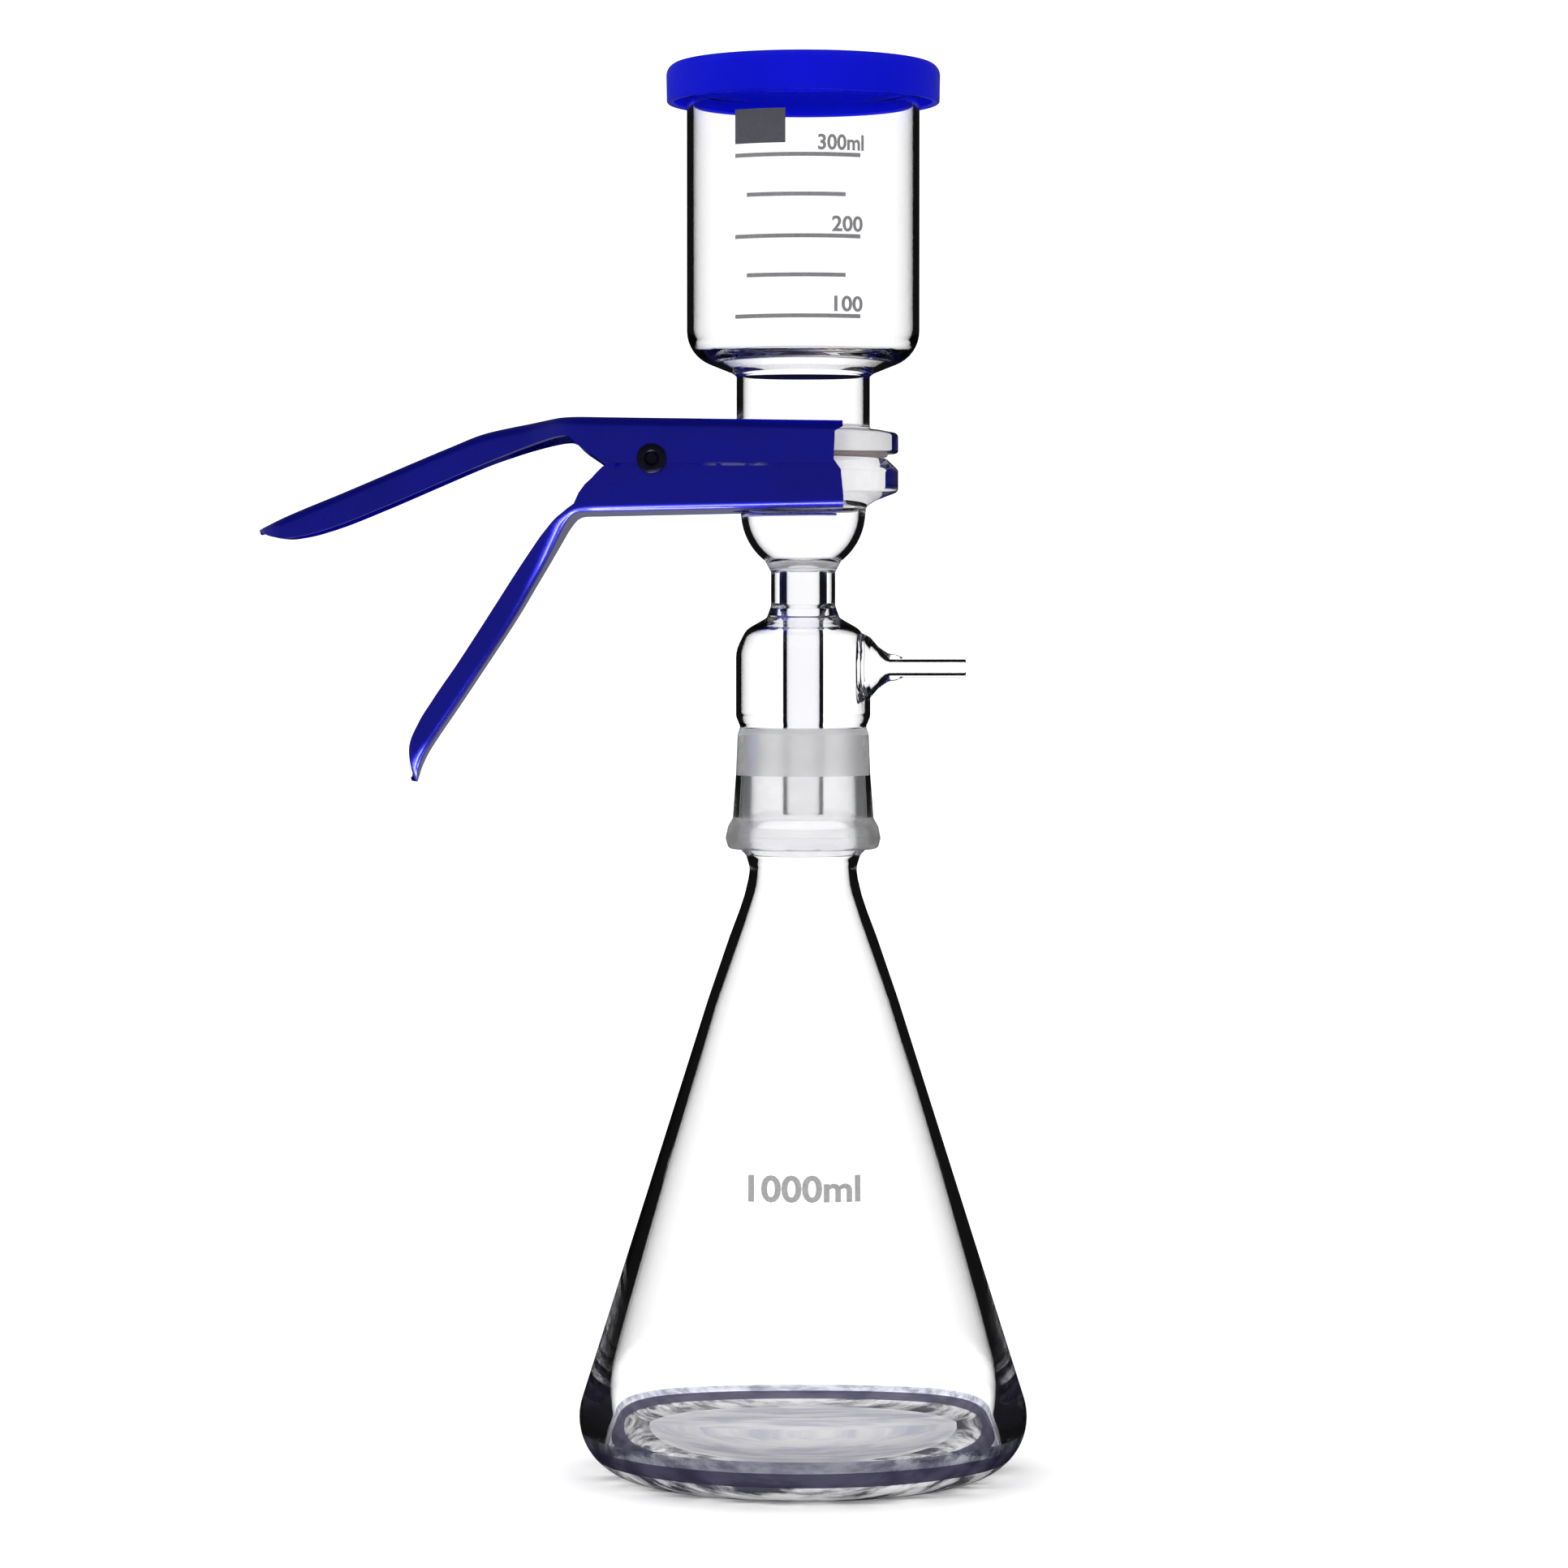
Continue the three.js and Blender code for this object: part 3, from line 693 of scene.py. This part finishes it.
def vacuum_adapter():
    """One fused piece: ground socket, vacuum chamber, hose nipple, support bowl and slanted drip tube."""
    bowl_start = math.degrees(math.acos(10 / BOWL_R))
    section = [
        (25.6, 313.4, 1.2),
        (20.4, 313.4, 0.4),
        (20.4, 309.8, 0.4),
        (BOWL_INNER_R, 309.8, 1.0),
        (BOWL_INNER_R, 303.0, 0),
        *arc(0, BOWL_Z, BOWL_INNER_R, 0, -58, 12),
        (TUBE_BORE_R, 281.0, 3.5),
        (TUBE_BORE_R, TIP_Z, 0.4),
        (TUBE_R, TIP_Z, 0.4),
        (TUBE_R, 263.2, 1.5),
        (7.3, 266.2, 1.5),
        (7.3, 280.2, 0.7),
        (8.8, 280.2, 0.7),
        (8.8, 268.6, 1.2),
        (7.9, 267.0, 0.8),
        (8.1, 264.6, 0.8),
        (10.2, 263.4, 1.6),
        (12.3, 262.2, 4),
        (16.9, 259.9, 5),
        (19.1, 254.2, 8),
        (19.1, 235.2, 3),
        (18.3, 232.6, 2),
        (18.45, 230.3, 0.5),
        (19.15, 216, 0),
        (19.8, 203, 0),
        (20.28, 193.5, 0.8),
        (23.0, 193.3, 1.6),
        (23.9, 196.6, 2.2),
        (23.2, 200.2, 2),
        (21.7, 202.8, 2),
        (20.7, 216.5, 20),
        (20.2, 228.9, 2),
        (19.4, 231.0, 1.2),
        (20.7, 234.2, 3),
        (20.7, 254.5, 10),
        (17.6, 260.9, 6),
        (12.8, 263.6, 3),
        (11.2, 264.6, 1.2),
        (10.4, 266.8, 1.0),
        (9.9, 268.4, 1.5),
        (9.9, 278.6, 1.0),
        (11.0, 280.6, 1.2),
        *arc(0, BOWL_Z, BOWL_R, 6 - bowl_start, -6, 14),
        (19.4, 298.6, 1.5),
        (22.5, 300.6, 3),
        (29.25, 303.2, 1.6),
        (29.25, 309.9, 1.2),
    ]
    bm = turned(section)
    for vert in bm.verts:
        radius = math.hypot(vert.co.x, vert.co.y)
        if vert.co.z < TIP_Z + 1 and radius < TUBE_R + 0.1:
            vert.co.z -= TIP_SLOPE * vert.co.y
    adapter = finished("adapter_glass", bm)
    add_nipple(adapter)
    zones = (
        (DRY_GROUND, between(18.3, 20.35, GROUND_FROM, GROUND_TO)),
        (GREASED_GROUND, between(18.3, 20.35, JOINT_FOOT - 2, 203)),
        (SAWN_GLASS, between(0, 20.6, 303, 313)),
        (FUSED_GLASS, between(5.4, 9.6, 279.5, 283.2)),
    )
    glaze(adapter, zones)
    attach(adapter, "filter_head")
    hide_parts("joint_socket", "vacuum_dome", "hose_nipple", "support_bowl", "drip_tube")


def add_nipple(adapter):
    """Joins the flared nipple to the chamber's side and opens its bore into the chamber."""
    outside = [
        (0, 16.9, 0),
        (11.2, 16.9, 0),
        (9.4, 20.6, 2),
        (6.4, 23.2, 5),
        (4.3, 26.2, 3),
        (4.0, 28.6, 2),
        (3.2, 30.4, 2),
        (3.2, 47.4, 2),
        (3.4, 48.8, 2),
        (3.2, 50.1, 0.7),
        (0, 50.1, 0),
    ]
    inside = [
        (0, 12.0, 0),
        (8.6, 12.0, 0),
        (8.4, 17.8, 2),
        (4.6, 22.4, 4),
        (1.7, 25.6, 3),
        (1.7, 52, 0),
        (0, 52, 0),
    ]
    for outline, operation in ((outside, "UNION"), (inside, "DIFFERENCE")):
        bm = laid(turned(outline, SMALL_LATHE_STEPS), (0, 1, 0), (0, 0, 1), (1, 0, 0), (0, 0, NIPPLE_Z))
        combined(adapter, finished("tool", bm), operation)
    crisp(adapter)


CUP_R = 35.75


def funnel_cup():
    """Funnel: a flange, a short neck and a straight cup with a rounded floor and a thickened rim."""
    section = [
        (18.5, 315, 0.6),
        (29.25, 315, 0.8),
        (29.25, 321.1, 1.4),
        (24, 322.1, 1.5),
        (20.5, 322.1, 1.5),
        (20.5, 338.6, 0.8),
        (21.8, 339.6, 1.2),
        (CUP_R, 345.2, 15),
        (CUP_R, 424.5, 6),
        (38.4, 428.0, 2.5),
        (38.4, 431.9, 1.4),
        (35.15, 431.9, 1.0),
        (33.75, 427.5, 5),
        (33.75, 346.8, 9),
        (28.6, 344.4, 1.0),
        (27.0, 344.7, 1.0),
        (23.0, 342.7, 2.0),
        (18.5, 341.0, 1.5),
        (18.5, 322.1, 0),
    ]
    cup = lathe("funnel_glass", section)
    glaze(cup, [(SAWN_GLASS, between(0, 19, 315.5, 322))])
    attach(cup, "filter_head")
    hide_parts("funnel_cup")


def disc_and_seal():
    """The sintered disc in the top of the support flange, and the seal ring between the flanges."""
    disc = [(0, 309.95, 0), (19.9, 309.95, 0.5), (19.9, 313.4, 0.4), (0, 313.4, 0)]
    seal = [(18.5, 313.85, 0.3), (26, 313.85, 0.5), (26, 314.95, 0.5), (18.5, 314.95, 0.3)]
    for name, section, material, node, slot in (
        ("sintered_plate", disc, sintered_glass(), "sintered_disc", "sintered_glass"),
        ("gasket", seal, seal_rubber(), "seal_ring", "seal_rubber"),
    ):
        piece = lathe(name, section)
        piece.data.materials.append(material)
        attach(piece, "filter_head")
        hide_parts(node)


def funnel_cap():
    """Moulded cap: a flat top, a skirt round the cup's rim and a locating ring inside it."""
    section = [
        (0, 432.1, 0),
        (33, 432.1, 0.5),
        (33.2, 429.6, 0.5),
        (34.6, 429.6, 0.5),
        (34.8, 432.1, 0.6),
        (39.4, 432.1, 1.2),
        (39.7, 422.9, 0.5),
        (40.4, 422.3, 0.4),
        (41.9, 422.3, 0.8),
        (42.1, 434.4, 5.2),
        (34.5, 434.5, 3),
        (0, 434.5, 0),
    ]
    cap = lathe("cap_moulding", section)
    cap.data.materials.append(cap_plastic("cap_skin", (0.0006, 0.002, 0.42, 1), (0.001, 0.004, 0.56, 1)))
    # Painted light: the inside faces take a much lighter copy of the blue, where the inside lies in shade
    # behind the glass.
    cap.data.materials.append(cap_plastic("cap_inside_painted_light", (0.002, 0.006, 0.85, 1), (0.004, 0.01, 0.98, 1)))
    is_painted_bright_inside = between(0, 40.2, 400, 432.3)
    for face in cap.data.polygons:
        x, y, z = face.center / MM
        if is_painted_bright_inside(math.hypot(x, y), z):
            face.material_index = 1
    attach(cap, "cap")
    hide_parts("funnel_cap")


# ---- Clamp ----

SHEET_T = 1.6
BEND_R = 3.0
PIVOT = Vector((-45.8, 0, 312.3))
EAR_R = 8.0
UPPER_HALF = 33.2
LOWER_HALF = 31.3
HANDLE_HALF = 13.0
FORK_HALF = 21.75
PIN_HOLE_R = 3.3
EDGE_BREAK = 0.22
FRONT_X = 12.0
HANDLE_STATIONS = 90
TIP_CROWDING = 1.35  # above 1, the stations crowd towards the handle's round tip
TIP_HALF = 0.25  # half width of the last station


def smooth_rows(keys):
    """Stations on a smooth curve through the key rows, spaced by the first two columns."""
    keys = np.array(keys, float)
    chord = np.hypot(*np.diff(keys[:, :2], axis=0).T)
    at = np.concatenate(([0], np.cumsum(chord)))
    slope = np.diff(keys, axis=0) / chord[:, None]
    share = (chord[:-1] / (chord[:-1] + chord[1:]))[:, None]
    inner = slope[:-1] * (1 - share) + slope[1:] * share
    tangent = np.vstack((slope[:1], inner, slope[-1:]))
    u = np.linspace(0, 1, HANDLE_STATIONS)
    wanted = at[-1] * (1 - (1 - u) ** TIP_CROWDING)
    k = np.clip(np.searchsorted(at, wanted, side="right") - 1, 0, len(chord) - 1)
    h = chord[k]
    t = ((wanted - at[k]) / h)[:, None]
    h = h[:, None]
    return (
        (2 * t**3 - 3 * t**2 + 1) * keys[k]
        + (t**3 - 2 * t**2 + t) * h * tangent[k]
        + (3 * t**2 - 2 * t**3) * keys[k + 1]
        + (t**3 - t**2) * h * tangent[k + 1]
    )


def with_round_tip(rows):
    """Narrows the last stations so that the handle ends in a half circle."""
    steps = np.hypot(*np.diff(rows[:, :2], axis=0).T)
    left = np.concatenate((np.cumsum(steps[::-1])[::-1], [0]))
    short = np.clip(HANDLE_HALF - left, 0, HANDLE_HALF - TIP_HALF)
    round_end = np.sqrt(HANDLE_HALF**2 - short**2)
    narrowed = np.minimum(rows[:, 4], round_end)
    rows[:, 4] = np.where(left < HANDLE_HALF, narrowed, rows[:, 4])
    return rows


def web_height(front, rise, x):
    """Height of a jaw's flat web at one X: its height at the front, and its rise towards the back."""
    return front + (FRONT_X - x) * rise


def channel_section(half, depth):
    """Across and down positions of a channel's outer face, from one flange edge to the other."""
    bend = min(BEND_R, 0.9 * depth, 0.9 * half)
    flange = [(-half, d) for d in np.linspace(depth, bend, 4)[:-1]]
    corner = [
        (bend - half - bend * math.cos(a), bend - bend * math.sin(a))
        for a in np.linspace(0, math.pi / 2, 7)
    ]
    left = flange + corner
    web = [(y, 0.0) for y in np.linspace(bend - half, half - bend, 9)[1:-1]]
    right = [(-y, d) for y, d in reversed(left)]
    return left + web + right


def pressed_sheet(name, rows):
    """A jaw pressed from sheet: stations of (web x, web z, edge x, edge z, half width), made solid."""
    bm = bmesh.new()
    lines = []
    for web_x, web_z, edge_x, edge_z, half in rows:
        down = Vector((edge_x - web_x, 0, edge_z - web_z))
        depth = max(down.length, 0.4)
        down.normalize()
        web = Vector((web_x, 0, web_z))
        section = channel_section(half, depth)
        lines.append([bm.verts.new(web + down * d + Vector((0, y, 0))) for y, d in section])
    for one, two in zip(lines, lines[1:]):
        for i in range(len(one) - 1):
            bm.faces.new((one[i], one[i + 1], two[i + 1], two[i]))
    sheet = finished(name, bm)
    # The web of the first station faces away from its flanges.
    web_x, web_z, edge_x, edge_z, _ = rows[0]
    outwards = Vector((web_x - edge_x, 0, web_z - edge_z))
    web_face = max(sheet.data.polygons, key=lambda face: face.area)
    if web_face.normal.dot(outwards) < 0:
        sheet.data.flip_normals()
    thick = sheet.modifiers.new("thickness", "SOLIDIFY")
    thick.thickness = SHEET_T * MM
    thick.offset = -1
    thick.use_even_offset = True
    with_modifiers_applied(sheet)
    return sheet


def jaw(name, rows, front, body, node):
    """A pressed jaw with its front edge, fork mouth and pin holes cut, and its sharp edges broken."""
    made = pressed_sheet(name, rows)
    made.data.materials.clear()
    mouth = [(x, y) for x, y, _ in arc(0, 0, FORK_HALF, 90, 270, 36)]
    mouth += [(40, -FORK_HALF), (40, FORK_HALF)]
    hole = turned([(0, -50, 0), (PIN_HOLE_R, -50, 0), (PIN_HOLE_R, 50, 0), (0, 50, 0)], SMALL_LATHE_STEPS)
    cutters = [
        sideways(front, 60),
        prism(mouth, 280, 340),
        laid(hole, (0, 0, 1), (1, 0, 0), (0, 1, 0), PIVOT),
    ]
    for cutter in cutters:
        combined(made, finished("tool", cutter), "DIFFERENCE")
    edges = made.modifiers.new("edges", "BEVEL")
    edges.width = EDGE_BREAK * MM
    edges.segments = 2
    edges.limit_method = "ANGLE"
    edges.angle_limit = math.radians(50)
    edges.use_clamp_overlap = True
    with_modifiers_applied(made)
    crisp(made)
    made.data.materials.append(SHEET_METAL)
    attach(made, body)
    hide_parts(node)


def upper_jaw():
    """Upper jaw: a deep channel that narrows into the handle behind the pivot."""
    body = [(x, web_height(323.9, 0.0131, x), x, 310.9, UPPER_HALF) for x in (14, -20, -56)]
    handle = [
        (-60.2, 324.85, -60.2, 310.9, UPPER_HALF),
        (-64.4, 324.93, -64.4, 313.8, 33.1),
        (-68.6, 325.0, -68.6, 316.8, 32.0),
        (-70.4, 325.0, -70.4, 318.8, 31.0),
        (-73.5, 324.9, -73.5, 319.2, 28.4),
        (-78, 324.3, -78.4, 318.3, 23.2),
        (-83, 323.5, -84, 316.6, 18.2),
        (-89, 322.5, -90.5, 314.2, 14.9),
        (-98.2, 320.4, -99.9, 310.4, 13.2),
        (-107.5, 316.7, -110.6, 305.8, HANDLE_HALF),
        (-126, 308.9, -129.2, 297.8, HANDLE_HALF),
        (-142, 302.1, -144, 292.0, HANDLE_HALF),
        (-153, 297.6, -153.5, 289.4, HANDLE_HALF),
        (-160, 294.6, -159.6, 288.8, HANDLE_HALF),
        (-164.5, 292.6, -163.9, 289.6, HANDLE_HALF),
        (-167.15, 291.4, -166.9, 290.9, HANDLE_HALF),
    ]
    rows = np.vstack((body, with_round_tip(smooth_rows(handle))))
    front = [(11.8, 345), (11.8, 322), (9.4, 320.6), (9, 310), (9, 300), (40, 300), (40, 345)]
    jaw("upper_jaw_sheet", rows, front, "clamp_upper", "clamp_upper_jaw")


def lower_jaw():
    """Lower jaw: a channel that rises to a round ear at the pivot, with the handle hanging behind it."""
    edge = [(x, PIVOT.z) for x in (14, -12, -37.5)]
    edge += [(x, z) for x, z, _ in arc(PIVOT.x, PIVOT.z, EAR_R, 0, 180, 16)]
    body = [(x, web_height(297.9, -0.0208, x), x, z, LOWER_HALF) for x, z in edge]
    handle = [
        (-54.1, 296.53, -54.1, 312.1, LOWER_HALF),
        (-60.2, 296.40, -60.2, 310.3, LOWER_HALF),
        (-64.2, 296.31, -64.2, 306.3, 31.2),
        (-67.2, 296.25, -67.8, 302.4, 30.4),
        (-68.6, 296.1, -69.0, 299.4, 29.6),
        (-70.2, 295.3, -71.2, 297.7, 28.2),
        (-72.0, 293.0, -74.6, 294.9, 25.8),
        (-74.8, 288.0, -78.6, 290.8, 21.6),
        (-78.5, 281.2, -83.4, 284.4, 17.2),
        (-82.4, 274.4, -88.2, 277.4, 14.6),
        (-86.2, 267.8, -92.5, 270.8, 13.3),
        (-99.8, 246.9, -106.0, 250.0, HANDLE_HALF),
        (-108, 234.7, -113.4, 239.2, HANDLE_HALF),
        (-112.4, 228.3, -117.5, 232.6, HANDLE_HALF),
        (-116.6, 221.4, -120.6, 224.4, HANDLE_HALF),
        (-118.2, 217.3, -120.3, 218.9, HANDLE_HALF),
        (-118.9, 214.1, -119.4, 214.5, HANDLE_HALF),
    ]
    rows = np.vstack((body, with_round_tip(smooth_rows(handle))))
    front = [(12, 280), (12, 301.4), (11.2, 309.2), (9, 312.3), (9, 330), (40, 330), (40, 280)]
    jaw("lower_jaw_sheet", rows, front, "clamp_lower", "clamp_lower_jaw")


def pivot_rivet():
    """A hollow pin whose two ends are rolled over the jaw walls."""
    half_profile = [
        (0, 33.0, 0),
        (1.7, 33.0, 0.5),
        (2.1, 34.2, 0.5),
        (2.6, 34.6, 0.4),
        (3.4, 34.6, 0.7),
        (4.5, 33.9, 0.6),
        (4.5, 33.35, 0.2),
        (3.0, 33.35, 0.1),
    ]
    mirrored = [(r, -y, radius) for r, y, radius in reversed(half_profile)]
    bm = turned(half_profile + mirrored, SMALL_LATHE_STEPS)
    rivet = finished("hollow_rivet", laid(bm, (0, 0, 1), (1, 0, 0), (0, 1, 0), PIVOT))
    rivet.data.materials.append(dark_steel())
    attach(rivet, "clamp_pivot")
    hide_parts("pivot_rivet")


WIRE_R = 0.8
WIRE_SIDES = 12
COIL_R = 4.6
COIL_HALF = 9.0
LEG = 17.0
COIL_TURN = (-60, 70 + 360 * 5)  # degrees at which the coil starts and ends
COIL_STATIONS = 90
LEG_STATIONS = 12


def wire(name, points):
    """A round wire along a line of points, closed at both ends."""
    bm = bmesh.new()
    rings = []
    side = Vector((0, 1, 0))
    angles = [2 * math.pi * k / WIRE_SIDES for k in range(WIRE_SIDES)]
    for i, point in enumerate(points):
        run = (points[min(i + 1, len(points) - 1)] - points[max(i - 1, 0)]).normalized()
        side = (side - run * side.dot(run)).normalized()
        up = run.cross(side)
        spokes = [side * math.cos(a) + up * math.sin(a) for a in angles]
        rings.append([bm.verts.new(point + spoke * WIRE_R) for spoke in spokes])
    for one, two in zip(rings, rings[1:]):
        bridge(bm, one, two)
    bm.faces.new(rings[0])
    bm.faces.new(rings[-1])
    return finished(name, bm)


def spring_half(name, degrees, sense, material):
    """Half of the coil, from its middle to one end, and the leg that presses one jaw's plate."""

    def coil_point(turn):
        a = math.radians(turn)
        share = (turn - COIL_TURN[0]) / (COIL_TURN[1] - COIL_TURN[0])
        around = Vector((COIL_R * math.cos(a), COIL_HALF * (2 * share - 1), COIL_R * math.sin(a)))
        return PIVOT + around

    middle = sum(COIL_TURN) / 2
    points = [coil_point(turn) for turn in np.linspace(middle, degrees, COIL_STATIONS)]
    a = math.radians(degrees)
    run = Vector((-math.sin(a), 0, math.cos(a))) * sense
    shares = [i / LEG_STATIONS for i in range(1, LEG_STATIONS + 1)]
    points += [points[-1] + run * (LEG * share) for share in shares]
    half = wire(name, points)
    half.data.materials.append(material)
    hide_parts("torsion_spring")
    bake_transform(half)


def torsion_spring():
    material = spring_steel()
    spring_half("spring_lower_half", COIL_TURN[0], -1, material)
    spring_half("spring_upper_half", COIL_TURN[1], 1, material)


# ---- Printed marks ----

PRINT_T = 0.07  # thickness of the fired print
PRINT_LIFT = 0.02  # gap under it
PRINT_STEP = 1.2  # length of a plate's facets
LETTER_GAIN = 0.025  # how much the strokes of a letter are thickened, as a share of its size


def bent_patch(bm, left, right, low, high, on_surface):
    """A thin plate between four limits, laid on a curved surface; across and up in millimetres."""
    columns = max(2, round((right - left) / PRINT_STEP))
    layers = []
    for lift in (PRINT_LIFT, PRINT_LIFT + PRINT_T):
        rows = []
        for up in (low, high):
            spots = [left + (right - left) * i / columns for i in range(columns + 1)]
            rows.append([bm.verts.new(on_surface(across, up, lift)) for across in spots])
        layers.append(rows)
    (a, b), (c, d) = layers
    for i in range(columns):
        j = i + 1
        bm.faces.new((a[i], a[j], b[j], b[i]))
        bm.faces.new((c[i], d[i], d[j], c[j]))
        bm.faces.new((a[i], c[i], c[j], a[j]))
        bm.faces.new((b[i], b[j], d[j], d[i]))
    bm.faces.new((a[0], b[0], d[0], c[0]))
    bm.faces.new((a[-1], c[-1], d[-1], b[-1]))


def bent_text(bm, text, size, right, base, on_surface, width):
    """Adds thin solid letters that end at `right` and stand on `base`, laid on a curved surface."""
    curve = bpy.data.curves.new("number", "FONT")
    curve.body = text
    curve.size = size
    curve.align_x = "RIGHT"
    curve.extrude = PRINT_T / 2
    curve.offset = LETTER_GAIN * size
    curve.resolution_u = 4
    letters = bpy.data.objects.new("number", curve)
    bpy.context.collection.objects.link(letters)
    graph = bpy.context.evaluated_depsgraph_get()
    mesh = bpy.data.meshes.new_from_object(letters.evaluated_get(graph))
    bpy.data.objects.remove(letters)
    before = len(bm.verts)
    bm.from_mesh(mesh)
    bpy.data.meshes.remove(mesh)
    bm.verts.ensure_lookup_table()
    for vert in bm.verts[before:]:
        x, y, z = vert.co
        vert.co = on_surface(right + x * width, base + y, PRINT_LIFT + PRINT_T / 2 + z)


def on_cup(across, up, lift):
    """A point on the front of the cup, or lifted off it."""
    angle = across / CUP_R
    radius = CUP_R + lift
    return Vector((radius * math.sin(angle), -radius * math.cos(angle), up))


def on_flask(across, up, lift):
    """A point on the front of the flask's cone, or lifted off it."""
    tilt = math.radians(CONE_TILT)
    radius = CONE_TOP_R + (CONE_TOP_Z - up) * math.tan(tilt)
    angle = across / radius
    out = radius + lift * math.cos(tilt)
    return Vector((out * math.sin(angle), -out * math.cos(angle), up + lift * math.sin(tilt)))


GRADUATIONS = (403.5, 391.6, 379.1, 367.4, 355.1)  # heights; every other line is long
LONG_LINE = (-21.9, 17.8)
SHORT_LINE = (-17.8, 12.9)
LINE_HALF = 0.62
FUNNEL_DIGITS = 6.4
FLASK_DIGITS = 10.6


def funnel_print():
    """Five graduation lines with their numbers, and a plain dark marking patch."""
    bm = bmesh.new()
    for number, height in enumerate(GRADUATIONS):
        left, right = SHORT_LINE if number % 2 else LONG_LINE
        bent_patch(bm, left, right, height - LINE_HALF, height + LINE_HALF, on_cup)
    for text, right, base, width in (
        ("300ml", 19.2, 405.0, 0.95),
        ("200", 18.6, 380.6, 1.05),
        ("100", 18.6, 356.6, 1.1),
    ):
        bent_text(bm, text, FUNNEL_DIGITS, right, base, on_cup, width)
    marks = finished("funnel_graduations", bm)
    marks.data.materials.append(enamel_print("grey_enamel", (0.12, 0.12, 0.13, 1), (0.25, 0.25, 0.26, 1)))
    bm = bmesh.new()
    bent_patch(bm, -21.9, -5.5, 407.0, 417.4, on_cup)
    patch = finished("funnel_marking_patch", bm)
    slate = enamel_print("slate_enamel", (0.045, 0.045, 0.06, 1), (0.085, 0.085, 0.11, 1))
    patch.data.materials.append(slate)
    for piece in (marks, patch):
        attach(piece, "filter_head")


def flask_print():
    """The capacity, printed on the cone."""
    bm = bmesh.new()
    bent_text(bm, "1000ml", FLASK_DIGITS, 17.9, 89.4, on_flask, 1.17)
    marks = finished("flask_capacity_mark", bm)
    marks.data.materials.append(enamel_print("pale_enamel", (0.22, 0.22, 0.22, 1), (0.42, 0.42, 0.42, 1)))
    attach(marks, "flask")


studio_camera()
studio_world()
studio_floor()
receiving_flask()
vacuum_adapter()
funnel_cup()
disc_and_seal()
funnel_cap()
upper_jaw()
lower_jaw()
pivot_rivet()
torsion_spring()
funnel_print()
flask_print()

scene = bpy.context.scene
scene.view_settings.view_transform = "Standard"
# Enough bounces for light to cross every wall of the nested glass pieces.
scene.cycles.max_bounces = 28
scene.cycles.transmission_bounces = 28
scene.cycles.glossy_bounces = 16
scene.cycles.diffuse_bounces = 4
